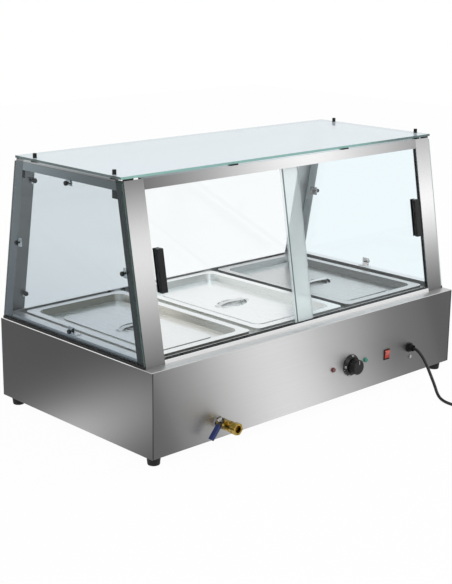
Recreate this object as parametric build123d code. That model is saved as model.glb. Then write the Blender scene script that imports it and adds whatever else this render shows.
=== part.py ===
from build123d import *
import os
from math import atan2, cos, degrees, pi, radians, sin, sqrt, tan

os.makedirs("parts", exist_ok=True)

# Overall size of the body, in millimetres
BODY_W = 1130.0
BODY_D = 612.0
BODY_H = 214.0
FOOT_H = 25.0
VALVE_REACH = 70.0
SHEET = 1.2
SEAT = 0.3

# Reference planes. X runs left to right, Y front to back, Z up from the floor
LEFT_X = -BODY_W / 2
RIGHT_X = BODY_W / 2
FRONT_Y = -(BODY_D - VALVE_REACH) / 2
BACK_Y = FRONT_Y + BODY_D
DECK_Z = FOOT_H + BODY_H

# Body panels and deck
CORNER_SEAM = 3.8
CORNER_RETURN = 1.8
TOP_FLANGE = 12.0
BASE_FLANGE = 50.0
DECK_T = 1.5
DECK_EDGE_R = 1.0
VENT_COUNT = 14
VENT_W = 60.0
VENT_H = 6.0
VENT_STEP = 72.0
VENT_Z = 150.0

# Feet
FOOT_R = 18.0
FOOT_TIP_R = 15.0
FOOT_INSET = 28.0
FOOT_HOLE_R = 6.0
FOOT_HOLE_DEPTH = 14.0

# Pans, lids and water tank
PAN_COUNT = 3
PAN_PITCH = 345.5
LID_W = 325.0
LID_L = 526.0
LID_FRONT = 61.5
LID_T = 1.0
LID_TOP = 12.0
LID_LIP = 7.0
LID_CORNER_R = 16.0
RIM_SIDE = 21.5
RIM_END = 22.0
RECESS_DEPTH = 19.0
RECESS_SLOPE = 6.0
RECESS_R = 28.0
PLATEAU_INSET = 46.0
PLATEAU_R = 20.0
PLATEAU_RISE = 2.5
DISH_W = 94.0
DISH_L = 66.0
DISH_DEPTH = 8.0
DISH_T = 1.0
STRAP_LEN = 118.0
STRAP_W = 15.0
STRAP_T = 2.0
STRAP_RISE = 5.0
STRAP_FOOT = 10.0
PAN_LIP_GAP = 1.0
PAN_LID_GAP = 0.5
PAN_T = 1.0
PAN_LEDGE = 12.0
PAN_DEPTH = 148.0
PAN_TAPER = 3.0
PAN_R = 40.0
PAN_FLOOR_R = 14.0
OPENING_GAP = 3.0
TANK_MARGIN = 6.0
TANK_FLOOR_Z = 30.0
TANK_T = 1.2
TANK_FLANGE = 12.0

# Heating element
HEATER_R = 4.0
HEATER_Z = 43.0
HEATER_BEND_R = 42.0
HEATER_SIDE = 51.0
HEATER_NEAR = 76.5
HEATER_FAR = 85.5
HEATER_LEG_X = (842.0, 922.0)
HEATER_END_Y = 44.0
HEATER_NUT_R = 8.0
HEATER_NUT_T = 5.0

# Drain fitting and ball valve
VALVE_X = 210.0
VALVE_Z = 43.0
VALVE_ROLL = 49.0
PIPE_R = 10.4
PIPE_BORE_R = 7.5
PIPE_IN_Y = 70.0
PIPE_OUT_Y = -18.0
LOCK_NUT_AF = 27.0
LOCK_NUT_T = 4.0
VALVE_IN_Y = -7.0
VALVE_HEX_AF = 25.0
VALVE_HEX_END = -14.0
BARREL_R = 13.5
BARREL_END = -45.0
NECK_R = 12.0
NECK_END = -54.0
MOUTH_AF = 27.0
MOUTH_R = 15.2
OUTLET_R = 9.3
OUTLET_LEN = 15.0
PORT_R = 5.0
BALL_Y = -30.0
BALL_R = 9.3
BALL_CAVITY_R = 9.6
STEM_R = 4.0
STEM_HOLE_R = 4.07
STEM_TOP_R = 3.0
BOSS_R = 8.0
BOSS_TOP = 21.0
LEVER_Z = 22.0
LEVER_T = 2.5
LEVER_W = 13.0
LEVER_EYE_R = 8.0
LEVER_TIP_X = -49.0
SLEEVE_X = (-13.0, -53.0)
SLEEVE_W = 15.0
SLEEVE_H = 8.5
SLEEVE_FIT = 0.05
LEVER_NUT_AF = 11.0
LEVER_NUT_T = 6.0
STEM_TOP = 32.0

# Controls on the front panel, from the left side and from the body's underside
CONTROL_Z = 80.5
KNOB_X = 696.0
KNOB_GAP = 1.0
DIAL_R = 30.0
DIAL_RIM_R = 24.5
DIAL_T = 9.0
CAP_R = 20.5
CAP_REACH = 30.0
CAP_EDGE = 2.0
GRIP_COUNT = 16
GRIP_R = 2.2
GRIP_SINK = 1.2
SHAFT_R = 3.0
SHAFT_HOLE_R = 3.06
SHAFT_IN = 12.0
SHAFT_OUT = 24.0
PANEL_SHAFT_R = 5.0
THERMO_W = 38.0
THERMO_H = 44.0
THERMO_D = 30.0
BULB_R = 3.2
BULB_LEN = 90.0
BULB_Z = 60.0
CAPILLARY_R = 1.0
LAMP_Z = 82.5
LAMP_RED_X = 625.0
LAMP_GREEN_X = 755.0
LAMP_R = 5.0
LAMP_FLANGE_R = 7.0
LAMP_FLANGE_T = 2.0
LAMP_DOME = 6.0
LAMP_IN = 24.0
SWITCH_X = 846.0
SWITCH_Z = 79.0
SWITCH_W = 23.0
SWITCH_H = 30.0
BEZEL_T = 2.0
SWITCH_BODY_W = 20.6
SWITCH_BODY_H = 27.6
SWITCH_IN = 28.0
ROCKER_W = 18.0
ROCKER_R = 12.5
ROCKER_PIVOT = 4.0
ROCKER_FRONT = 7.0
ROCKER_BACK = 3.0
ROCKER_TILT = 10.0
ROCKER_GAP = 0.4
EARTH_X = 951.0
EARTH_Z = 50.0
EARTH_HEAD_R = 4.5
EARTH_HEAD_T = 3.0
EARTH_SHANK_R = 2.0
BLOCK_X = 965.0
BLOCK_Y = 32.0
BLOCK_W = 62.0
BLOCK_D = 20.0
BLOCK_H = 18.0
BLOCK_WAYS = 6
BLOCK_SCREW_R = 2.4
BLOCK_SCREW_DEPTH = 5.0

# Cord, gland and plug
CORD_R = 4.25
GLAND_X = 944.0
GLAND_Z = 79.0
GLAND_HEX_AF = 24.0
GLAND_HEX_T = 6.0
GLAND_DOME_R = 10.5
GLAND_NOSE_R = 9.0
GLAND_REACH = 16.0
GLAND_THREAD_R = 8.0
GLAND_THREAD_IN = 12.0
GLAND_BORE_R = 4.4
GLAND_MOUTH_R = 8.2
GLAND_BORE_START = -6.0
GLAND_NUT_AF = 22.0
GLAND_NUT_T = 4.0
CORD_ROUTE = [
    (944.0, -6.0, 79.0),
    (944.0, -20.0, 79.0),
    (943.5, -35.0, 74.8),
    (941.5, -53.0, 62.0),
    (937.0, -72.0, 43.0),
    (928.0, -93.0, 22.5),
    (915.0, -118.0, 2.0),
    (899.0, -141.0, -15.0),
    (885.0, -168.0, -20.7),
    (878.0, -204.0, -20.7),
    (889.0, -239.0, -20.7),
    (917.0, -261.0, -20.7),
    (958.0, -267.0, -20.7),
    (1000.0, -259.0, -20.7),
    (1036.0, -259.0, -20.7),
]
ARC_SHARE = 0.45
NEARLY_ZERO = 1e-9
COIL_X = 1050.0
COIL_Y = -205.0
COIL_OUTER_R = 54.0
COIL_SIDE_GAP = 0.5
COIL_LAYER_GAP = 0.45
COIL_HALF_TURNS_IN = 4
COIL_HALF_TURNS_OUT = 4
COIL_PROBE_STEP = 3.0
COIL_PROBE_SKIP = 6
TAIL_X = 1124.0
TAIL_END = 12.0
PLUG_FLOOR_GAP = 0.05
PLUG_RELIEF_LEN = 34.0
PLUG_RELIEF_R = 7.0
PLUG_BODY_R = 19.0
PLUG_BODY_LEN = 38.0
PLUG_FACE_R = 18.0
PLUG_FACE_LEN = 6.0
PLUG_EDGE = 3.0
PIN_R = 2.4
PIN_LEN = 19.0
PIN_PITCH = 19.0

# Glass box: the front and rear planes lean inward, and sizes are heights above the deck
LEAN = 10.0
LEAN_T = tan(radians(LEAN))
BOX_FRONT = 31.0
BOX_BACK = 606.0
BOX_TOP = 428.0
POST_T = 1.5
POST_SIDE = 9.0
POST_W = 58.0
POST_FLANGE = 30.0
POST_RETURN = 4.0
RAIL_TOP_H = 25.0
RAIL_LOW_H = 16.0
RAIL_W = 26.5
RAIL_T = 1.5
RAIL_REAR_T = 3.5
GLASS_T = 5.0
GLASS_SIDE = 3.7
GLASS_LOW = 6.0
GLASS_HIGH = 424.0
SIDE_GLASS_FRONT = 1.0
REAR_GLASS_D = 1.8
REAR_GLASS_X = 11.0
TOP_GLASS_T = 6.0
TOP_GLASS_INSET = 1.5
TOP_GLASS_FRONT = 107.0
TOP_GLASS_BACK = 524.0
PAD_T = 4.0

# Sliding doors and their tracks, depths measured back from the front plane
TRACK_D = 20.1
TRACK_H = 9.0
TRACK_LINER_H = 8.7
LINER_D = (1.8, 18.3)
SLOT_OUTER = (3.3, 9.0)
SLOT_INNER = (11.4, 17.1)
SLOT_FLOOR = 3.2
PANE_OUTER_D = 3.6
PANE_INNER_D = 11.7
PANE_DEPTH = 5.1
DOOR_LOW = 3.5
DOOR_HIGH = 419.0
UPPER_SLOT_LOW = 405.0
UPPER_SLOT_HIGH = 422.0
DOOR_OVERLAP = 64.0
DOOR_MEET_SHIFT = -7.0
DOOR_POST_GAP = 0.5
SEAL_W = 3.0
SEAL_LIP = 0.6
HANDLE_X = 84.0
HANDLE_W = 18.0
HANDLE_D = 11.0
HANDLE_H = (161.0, 264.0)
HANDLE_PLATE_T = 1.5
HANDLE_BOLT_R = 2.0
HANDLE_BOLT_HOLE_R = 2.3
HANDLE_BOLT_INSET = 14.0

# Clips that hold the fixed glass
CLIP_T = 2.0
CLIP_W = 24.0
CLIP_LAP = 14.0
CLIP_REACH = 14.0
CLIP_SCREW_IN = 7.0
CLIP_BOSS_R = 5.0
SCREW_HEAD_R = 6.0
SCREW_HEAD_T = 5.5
SCREW_R = 2.0
SCREW_HOLE_R = 2.4
SCREW_TAIL = 3.0
CLIP_MID_Y = 316.0
CLIP_POST_H = 214.0
CLIP_LOW_H = 27.0
CLIP_LOW_LEG = 38.0
CLIP_LOW_FOOT = 22.0
REAR_CLIP_X = 62.0
REAR_CLIP_W = 14.0
REAR_CLIP_H = (58.0, 366.0)

# Studs through the top glass, corner tabs and buffers
STUD_X = 15.5
STUD_Y = (148.0, 460.0)
STUD_HEAD_R = 5.0
STUD_HEAD_H = 11.5
STUD_SHANK_R = 3.0
STUD_HOLE_R = 3.4
STUD_NUT_R = 4.7
STUD_NUT_T = 6.0
PAD_R = 10.0
FRONT_PAD_X = 205.0
FRONT_PAD_L = 24.0
CORNER_PAD_L = 30.0
PAD_D = (3.0, 15.0)
TAB_T = 2.0
TAB_W = 18.0
TAB_H = (383.0, 414.0)
TAB_FRONT_Y = 142.0
TAB_REAR_Y = 508.0
BUFFER_X = (346.0, 396.0)
BUFFER_R = 8.0
BUFFER_T = 1.3
BUFFER_H = 8.2
SIDE_SEAL_H = 6.0
SIDE_SEAL_X = (2.2, 8.7)

# Wires between the controls
WIRE_R = 1.1
WIRE_BEND_R = 6.0


# Places in the object's frame, from the left side, the front face and the body's underside
def left(x):
    return LEFT_X + x


def back(y):
    return FRONT_Y + y


def up(z):
    return FOOT_H + z


def place(point):
    return (left(point[0]), back(point[1]), up(point[2]))


# Plain solids
def slab(x0, x1, y0, y1, z0, z1):
    return Pos((x0 + x1) / 2, (y0 + y1) / 2, (z0 + z1) / 2) * Box(x1 - x0, y1 - y0, z1 - z0)


def rod_y(x, z, radius, y0, y1):
    return Pos(x, (y0 + y1) / 2, z) * Rot(90, 0, 0) * Cylinder(radius, abs(y1 - y0))


def rod_x(y, z, radius, x0, x1):
    return Pos((x0 + x1) / 2, y, z) * Rot(0, 90, 0) * Cylinder(radius, abs(x1 - x0))


def rod_z(x, y, radius, z0, z1):
    return Pos(x, y, (z0 + z1) / 2) * Cylinder(radius, abs(z1 - z0))


def cone_y(x, z, r_back, r_front, y_back, y_front):
    body = Cone(r_back, r_front, y_back - y_front)
    return Pos(x, (y_back + y_front) / 2, z) * Rot(90, 0, 0) * body


def hex_y(x, z, across_flats, y0, y1, turn=0.0):
    sketch = RegularPolygon(across_flats / sqrt(3), 6)
    bar = extrude(sketch, amount=abs(y1 - y0))
    return Pos(x, max(y0, y1), z) * Rot(90, 0, 0) * Rot(0, 0, turn) * bar


def rounded_block(x, y, width, length, radius, z0, z1):
    return Pos(x, y, z0) * extrude(RectangleRounded(width, length, radius), amount=z1 - z0)


def tube_along(path, radius):
    start = path ^ 0
    return sweep(start * Circle(radius), path=path)


# Bars of the glass box: depth is level, behind the leaning plane, and height is above the deck
def front_point(depth, height):
    return (back(BOX_FRONT + height * LEAN_T + depth), DECK_Z + height)


def rear_point(depth, height):
    return (back(BOX_BACK - height * LEAN_T - depth), DECK_Z + height)


def prism(x0, x1, points):
    face = Plane.YZ.offset(x0) * Polygon(*points, align=None)
    return extrude(face, amount=x1 - x0, dir=(1, 0, 0))


def lean_bar(x0, x1, d0, d1, h0, h1, at=front_point):
    return prism(x0, x1, [at(d0, h0), at(d1, h0), at(d1, h1), at(d0, h1)])


def side_plate(x0, x1, d_front, d_rear, h0, h1):
    corners = [
        front_point(d_front, h0),
        rear_point(d_rear, h0),
        rear_point(d_rear, h1),
        front_point(d_front, h1),
    ]
    return prism(x0, x1, corners)


def pair(solid):
    return [solid] + [mirror(solid, about=Plane.YZ)]


def save(name, solid):
    parts = solid if isinstance(solid, list) else solid.solids()
    whole = parts[0] if len(parts) == 1 else Compound(children=parts)
    export_step(whole, "parts/" + name + ".step")
    volumes = [part.volume for part in parts]
    valid = all(part.is_valid for part in parts)
    print(name, len(parts), "solids", round(sum(volumes)), "mm3", "valid" if valid else "NOT VALID")


# Places shared by several pieces
PAN_Y = back(LID_FRONT + LID_L / 2)
PAN_XS = [(i - (PAN_COUNT - 1) / 2) * PAN_PITCH for i in range(PAN_COUNT)]
RECESS_W = LID_W - 2 * RIM_SIDE
RECESS_L = LID_L - 2 * RIM_END
PAN_MOUTH_W = LID_W - 2 * PAN_LEDGE
PAN_MOUTH_L = LID_L - 2 * PAN_LEDGE
OPENING_W = PAN_MOUTH_W + 2 * PAN_T + 2 * OPENING_GAP
OPENING_L = PAN_MOUTH_L + 2 * PAN_T + 2 * OPENING_GAP
TANK_W = 2 * max(PAN_XS) + OPENING_W + 2 * TANK_MARGIN
TANK_L = OPENING_L + 2 * TANK_MARGIN
TANK_FRONT = PAN_Y - TANK_L / 2 - TANK_T
PANEL_IN = FRONT_Y + SHEET
BASE_TOP = FOOT_H + 2 * SHEET
POST_IN = POST_SIDE + POST_W
DOOR_START = POST_IN + DOOR_POST_GAP + SEAL_W
DOOR_MEET = BODY_W / 2 + DOOR_MEET_SHIFT
LEFT_DOOR_END = DOOR_MEET + DOOR_OVERLAP / 2
RIGHT_DOOR_END = DOOR_MEET - DOOR_OVERLAP / 2


# Folded panels of the body
def front_panel():
    x0, x1 = LEFT_X + CORNER_SEAM, RIGHT_X - CORNER_SEAM
    top = DECK_Z - DECK_T
    body = slab(x0, x1, FRONT_Y, PANEL_IN, FOOT_H, top)
    body += slab(x0, x1, FRONT_Y, FRONT_Y + TOP_FLANGE, top - SHEET, top)
    body += slab(x0 + BASE_FLANGE, x1 - BASE_FLANGE, FRONT_Y, FRONT_Y + TOP_FLANGE, FOOT_H, FOOT_H + SHEET)
    body -= rod_y(left(KNOB_X), up(CONTROL_Z), PANEL_SHAFT_R, FRONT_Y - SHEET, PANEL_IN + SHEET)
    for x in (LAMP_RED_X, LAMP_GREEN_X):
        body -= rod_y(left(x), up(LAMP_Z), LAMP_R, FRONT_Y - SHEET, PANEL_IN + SHEET)
    body -= Pos(left(SWITCH_X), FRONT_Y, up(SWITCH_Z)) * Box(SWITCH_BODY_W, TOP_FLANGE, SWITCH_BODY_H)
    body -= rod_y(left(GLAND_X), up(GLAND_Z), GLAND_THREAD_R, FRONT_Y - SHEET, PANEL_IN + SHEET)
    body -= rod_y(left(VALVE_X), up(VALVE_Z), PIPE_R, FRONT_Y - SHEET, PANEL_IN + SHEET)
    body -= rod_y(left(EARTH_X), up(EARTH_Z), EARTH_SHANK_R, FRONT_Y - SHEET, PANEL_IN + SHEET)
    return body


def left_panel():
    top = DECK_Z - DECK_T
    inner = LEFT_X + SHEET
    body = slab(LEFT_X, inner, FRONT_Y, BACK_Y, FOOT_H, top)
    body += slab(LEFT_X, LEFT_X + CORNER_RETURN, FRONT_Y, PANEL_IN, FOOT_H, top)
    body += slab(LEFT_X, LEFT_X + TOP_FLANGE, FRONT_Y + TOP_FLANGE, BACK_Y - TOP_FLANGE, top - SHEET, top)
    body += slab(LEFT_X, LEFT_X + BASE_FLANGE, PANEL_IN, BACK_Y - SHEET, FOOT_H, FOOT_H + SHEET)
    return body - foot_bolt_holes()


def foot_places():
    xs = (LEFT_X + FOOT_INSET, RIGHT_X - FOOT_INSET)
    ys = (FRONT_Y + FOOT_INSET, BACK_Y - FOOT_INSET)
    return [(x, y) for x in xs for y in ys]


def foot_bolt_holes():
    holes = [rod_z(x, y, SCREW_R + SEAT, FOOT_H - SHEET, BASE_TOP + SHEET) for x, y in foot_places()]
    return holes[0] + holes[1] + holes[2] + holes[3]


def back_panel():
    x0, x1 = LEFT_X + CORNER_SEAM, RIGHT_X - CORNER_SEAM
    top = DECK_Z - DECK_T
    body = slab(x0, x1, BACK_Y - SHEET, BACK_Y, FOOT_H, top)
    body += slab(x0, x1, BACK_Y - TOP_FLANGE, BACK_Y, top - SHEET, top)
    body += slab(x0 + BASE_FLANGE, x1 - BASE_FLANGE, BACK_Y - TOP_FLANGE, BACK_Y, FOOT_H, FOOT_H + SHEET)
    for i in range(VENT_COUNT):
        x = (i - (VENT_COUNT - 1) / 2) * VENT_STEP
        slot = extrude(SlotOverall(VENT_W, VENT_H), amount=TOP_FLANGE)
        body -= Pos(x, BACK_Y + SHEET, up(VENT_Z)) * Rot(90, 0, 0) * slot
    return body


def base_plate():
    body = slab(LEFT_X + SHEET, RIGHT_X - SHEET, PANEL_IN, BACK_Y - SHEET, FOOT_H + SHEET, BASE_TOP)
    return body - foot_bolt_holes()


def top_deck():
    body = slab(LEFT_X, RIGHT_X, FRONT_Y, BACK_Y, DECK_Z - DECK_T, DECK_Z)
    rim = body.edges().group_by(Axis.Z)[-1]
    body = fillet(rim, DECK_EDGE_R)
    for x in PAN_XS:
        hole = rounded_block(x, PAN_Y, OPENING_W, OPENING_L, PAN_R, DECK_Z - TOP_FLANGE, DECK_Z + TOP_FLANGE)
        body -= hole
    return body


def foot(x, y):
    body = Pos(x, y, FOOT_H / 2) * Cone(FOOT_TIP_R, FOOT_R, FOOT_H)
    body = fillet(body.edges().group_by(Axis.Z)[0], SHEET + SHEET)
    body -= rod_z(x, y, FOOT_HOLE_R, 0, FOOT_HOLE_DEPTH)
    return body - rod_z(x, y, SCREW_R, FOOT_HOLE_DEPTH, FOOT_H)


def foot_bolt(x, y):
    head = rod_z(x, y, FOOT_HOLE_R - SHEET, FOOT_HOLE_DEPTH - 3 * SHEET, FOOT_HOLE_DEPTH)
    return head + rod_z(x, y, SCREW_R, FOOT_HOLE_DEPTH, BASE_TOP + SHEET)


# Water tank and heating element
def water_tank():
    floor, top = up(TANK_FLOOR_Z), DECK_Z - DECK_T
    x_in, y_front, y_back = TANK_W / 2, TANK_FRONT + TANK_T, PAN_Y + TANK_L / 2
    x_out, y_out = x_in + TANK_T, y_back + TANK_T
    x_rim = x_out + TANK_FLANGE
    base = floor + TANK_T
    front = slab(-x_out, x_out, TANK_FRONT, y_front, base, top)
    front -= rod_y(left(VALVE_X), up(VALVE_Z), PIPE_R, TANK_FRONT - TANK_T, y_front + TANK_T)
    for x in HEATER_LEG_X:
        front -= rod_y(left(x), up(HEATER_Z), HEATER_R, TANK_FRONT - TANK_T, y_front + TANK_T)
    sheets = [front, slab(-x_out, x_out, y_back, y_out, base, top)]
    sheets.append(slab(-x_out, x_out, TANK_FRONT, y_out, floor, base))
    sheets += pair(slab(-x_out, -x_in, y_front, y_back, base, top))
    sheets += pair(slab(-x_rim, -x_out, TANK_FRONT, y_out, top - TANK_T, top))
    sheets.append(slab(-x_rim, x_rim, TANK_FRONT - TANK_FLANGE, TANK_FRONT, top - TANK_T, top))
    sheets.append(slab(-x_rim, x_rim, y_out, y_out + TANK_FLANGE, top - TANK_T, top))
    return sheets


def heater():
    start, end = left(HEATER_LEG_X[0]), left(HEATER_LEG_X[1])
    foot_y, z = back(HEATER_END_Y), up(HEATER_Z)
    side = TANK_W / 2 - HEATER_SIDE
    near = PAN_Y - TANK_L / 2 + HEATER_NEAR
    far = PAN_Y + TANK_L / 2 - HEATER_FAR
    corners = [
        (start, foot_y, z),
        (start, near, z),
        (-side, near, z),
        (-side, far, z),
        (side, far, z),
        (side, near, z),
        (end, near, z),
        (end, foot_y, z),
    ]
    path = FilletPolyline(*corners, radius=HEATER_BEND_R - SEAT)
    body = tube_along(path, HEATER_R)
    for x in HEATER_LEG_X:
        nut = hex_y(left(x), up(HEATER_Z), 2 * HEATER_NUT_R, TANK_FRONT - HEATER_NUT_T, TANK_FRONT)
        body += nut
    return body


# Drain fitting and ball valve. The flow axis runs out of the front panel
def drain_fitting():
    x, z = left(VALVE_X), up(VALVE_Z)
    body = rod_y(x, z, PIPE_R, back(PIPE_OUT_Y), back(PIPE_IN_Y))
    body += hex_y(x, z, LOCK_NUT_AF, FRONT_Y, FRONT_Y - LOCK_NUT_T)
    body += hex_y(x, z, LOCK_NUT_AF, TANK_FRONT, TANK_FRONT - LOCK_NUT_T)
    return body - rod_y(x, z, PIPE_BORE_R, back(PIPE_OUT_Y), back(PIPE_IN_Y))


def valve_frame():
    return Pos(left(VALVE_X), back(BALL_Y), up(VALVE_Z)) * Rot(0, -VALVE_ROLL, 0)


def valve_body():
    def along(y):
        return y - BALL_Y

    body = hex_y(0, 0, VALVE_HEX_AF, along(VALVE_IN_Y), along(VALVE_HEX_END))
    body += rod_y(0, 0, BARREL_R, along(VALVE_HEX_END), along(BARREL_END))
    body += rod_y(0, 0, NECK_R, along(BARREL_END), along(NECK_END))
    ring = rod_y(0, 0, MOUTH_R, along(NECK_END), along(-VALVE_REACH))
    body += ring & hex_y(0, 0, MOUTH_AF + SHEET, along(NECK_END), along(-VALVE_REACH))
    body += rod_z(0, 0, BOSS_R, 0, BOSS_TOP)
    body -= rod_y(0, 0, PIPE_R, along(VALVE_IN_Y), along(PIPE_OUT_Y))
    body -= rod_y(0, 0, PORT_R, along(PIPE_OUT_Y), along(-VALVE_REACH))
    body -= rod_y(0, 0, OUTLET_R, along(-VALVE_REACH), along(-VALVE_REACH + OUTLET_LEN))
    body -= Sphere(BALL_CAVITY_R)
    body -= rod_z(0, 0, STEM_HOLE_R, 0, BOSS_TOP)
    return valve_frame() * body


def valve_ball():
    body = Sphere(BALL_R) - rod_x(0, 0, PORT_R, -BALL_CAVITY_R, BALL_CAVITY_R)
    stem = rod_z(0, 0, STEM_R, PORT_R + SHEET, LEVER_Z)
    stem += rod_z(0, 0, STEM_TOP_R, LEVER_Z, STEM_TOP)
    return valve_frame() * (body + stem)


def valve_lever():
    z0, z1 = LEVER_Z, LEVER_Z + LEVER_T
    body = slab(LEVER_TIP_X, 0, -LEVER_W / 2, LEVER_W / 2, z0, z1)
    body += rod_z(0, 0, LEVER_EYE_R, z0, z1)
    body -= rod_z(0, 0, STEM_TOP_R, z0 - SHEET, z1 + SHEET)
    return valve_frame() * body


def lever_sleeve():
    near, tip = SLEEVE_X
    z = LEVER_Z + LEVER_T / 2
    body = Pos((near + tip) / 2, 0, z) * Box(near - tip, SLEEVE_W, SLEEVE_H)
    body = fillet(body.edges().filter_by(Axis.X), SLEEVE_H / 3)
    body = fillet(body.edges().group_by(Axis.X)[0], SLEEVE_H / 4)
    slot = slab(LEVER_TIP_X - SLEEVE_FIT, near, -LEVER_W / 2 - SLEEVE_FIT, LEVER_W / 2 + SLEEVE_FIT,
                LEVER_Z - SLEEVE_FIT, LEVER_Z + LEVER_T + SLEEVE_FIT)
    return valve_frame() * (body - slot)


def lever_nut():
    z0 = LEVER_Z + LEVER_T
    body = Pos(0, 0, z0) * extrude(RegularPolygon(LEVER_NUT_AF / sqrt(3), 6), amount=LEVER_NUT_T)
    return valve_frame() * (body - rod_z(0, 0, STEM_TOP_R, z0, z0 + LEVER_NUT_T))


# Thermostat, its bulb, shaft and knob
def thermostat_body():
    x, z = left(KNOB_X), up(CONTROL_Z)
    body = slab(x - THERMO_W / 2, x + THERMO_W / 2, PANEL_IN, PANEL_IN + THERMO_D,
                z - THERMO_H / 2, z + THERMO_H / 2)
    body = fillet(body.edges().filter_by(Axis.Y), SHEET + SHEET)
    return body - rod_y(x, z, SHAFT_HOLE_R, PANEL_IN, PANEL_IN + SHAFT_IN + SEAT)


def thermostat_bulb():
    x, z = left(KNOB_X), up(CONTROL_Z)
    bulb_y = TANK_FRONT - BULB_R
    bulb = rod_x(bulb_y, up(BULB_Z), BULB_R, x - THERMO_W - BULB_LEN, x - THERMO_W)
    points = [
        (x, PANEL_IN + THERMO_D, z),
        (x, bulb_y, z),
        (x - THERMO_W / 2, bulb_y, z - THERMO_H / 4),
        (x - THERMO_W / 2 - BULB_R, bulb_y, up(BULB_Z)),
        (x - THERMO_W, bulb_y, up(BULB_Z)),
    ]
    path = FilletPolyline(*points, radius=2 * BULB_R / 3)
    return bulb + tube_along(path, CAPILLARY_R)


def thermostat_shaft():
    x, z = left(KNOB_X), up(CONTROL_Z)
    return rod_y(x, z, SHAFT_R, PANEL_IN + SHAFT_IN, FRONT_Y - SHAFT_OUT)


def thermostat_knob():
    x, z = left(KNOB_X), up(CONTROL_Z)
    rear = FRONT_Y - KNOB_GAP
    rim = rear - SHEET
    step = rear - DIAL_T
    front = FRONT_Y - CAP_REACH
    body = rod_y(x, z, DIAL_R, rear, rim)
    body += cone_y(x, z, DIAL_R, DIAL_RIM_R, rim, step)
    cap = rod_y(x, z, CAP_R, step, front)
    cap = chamfer(cap.edges().group_by(Axis.Y)[0], CAP_EDGE)
    for i in range(GRIP_COUNT):
        angle = radians(360 * i / GRIP_COUNT)
        reach = CAP_R + GRIP_R - GRIP_SINK
        cap -= rod_y(x + reach * cos(angle), z + reach * sin(angle), GRIP_R, step, front - SHEET)
    body += cap
    return body - rod_y(x, z, SHAFT_R, rear, FRONT_Y - SHAFT_OUT)


# Indicator lamps and rocker switch
def lamp(x):
    cx, cz = left(x), up(LAMP_Z)
    body = rod_y(cx, cz, LAMP_R, FRONT_Y, FRONT_Y + LAMP_IN)
    body += rod_y(cx, cz, LAMP_FLANGE_R, FRONT_Y - LAMP_FLANGE_T, FRONT_Y)
    dome = rod_y(cx, cz, LAMP_FLANGE_R - SHEET, FRONT_Y - LAMP_DOME, FRONT_Y - LAMP_FLANGE_T)
    dome = fillet(dome.edges().group_by(Axis.Y)[0], LAMP_DOME / 3)
    return body + dome


def rocker_housing():
    x, z = left(SWITCH_X), up(SWITCH_Z)
    bezel = Pos(x, FRONT_Y - BEZEL_T / 2, z) * Box(SWITCH_W, BEZEL_T, SWITCH_H)
    bezel = chamfer(bezel.edges().group_by(Axis.Y)[0], SHEET / 2)
    body = slab(x - SWITCH_BODY_W / 2, x + SWITCH_BODY_W / 2, FRONT_Y, FRONT_Y + SWITCH_IN,
                z - SWITCH_BODY_H / 2, z + SWITCH_BODY_H / 2)
    half = ROCKER_W / 2 + ROCKER_GAP
    well = rod_x(FRONT_Y + ROCKER_PIVOT, z, ROCKER_R + ROCKER_GAP, x - half, x + half)
    mouth = slab(x - half, x + half, FRONT_Y - 2 * BEZEL_T, FRONT_Y + ROCKER_PIVOT,
                 z - ROCKER_R - ROCKER_GAP, z + ROCKER_R + ROCKER_GAP)
    return bezel + body - well - mouth


def rocker():
    x, z = left(SWITCH_X), up(SWITCH_Z)
    pivot = FRONT_Y + ROCKER_PIVOT
    body = rod_x(pivot, z, ROCKER_R, x - ROCKER_W / 2, x + ROCKER_W / 2)
    far = 2 * ROCKER_R
    body -= slab(x - far, x + far, pivot + ROCKER_BACK, pivot + far, z - far, z + far)
    cut = slab(x - far, x + far, -far, 0, -far, 0)
    lower = Pos(0, pivot - ROCKER_FRONT, z) * Rot(-ROCKER_TILT, 0, 0) * cut
    cut = slab(x - far, x + far, -far, 0, 0, far)
    upper = Pos(0, pivot - ROCKER_FRONT, z) * Rot(ROCKER_TILT, 0, 0) * cut
    body = body - lower - upper
    return Pos(x, pivot, z) * Rot(ROCKER_TILT, 0, 0) * Pos(-x, -pivot, -z) * body


def terminal_block():
    x, y = left(BLOCK_X), back(BLOCK_Y)
    body = slab(x - BLOCK_W / 2, x + BLOCK_W / 2, y - BLOCK_D / 2, y + BLOCK_D / 2,
                BASE_TOP, BASE_TOP + BLOCK_H)
    step = BLOCK_W / BLOCK_WAYS
    for i in range(BLOCK_WAYS):
        cx = x + (i - (BLOCK_WAYS - 1) / 2) * step
        top = BASE_TOP + BLOCK_H
        body -= rod_z(cx, y - BLOCK_D / 4, BLOCK_SCREW_R, top - BLOCK_SCREW_DEPTH, top)
        body -= rod_z(cx, y + BLOCK_D / 4, BLOCK_SCREW_R, top - BLOCK_SCREW_DEPTH, top)
    return body


def earth_screw():
    x, z = left(EARTH_X), up(EARTH_Z)
    head = rod_y(x, z, EARTH_HEAD_R, FRONT_Y - EARTH_HEAD_T, FRONT_Y)
    head = fillet(head.edges().group_by(Axis.Y)[0], SHEET)
    return head + rod_y(x, z, EARTH_SHANK_R, FRONT_Y, PANEL_IN + TOP_FLANGE)


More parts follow.
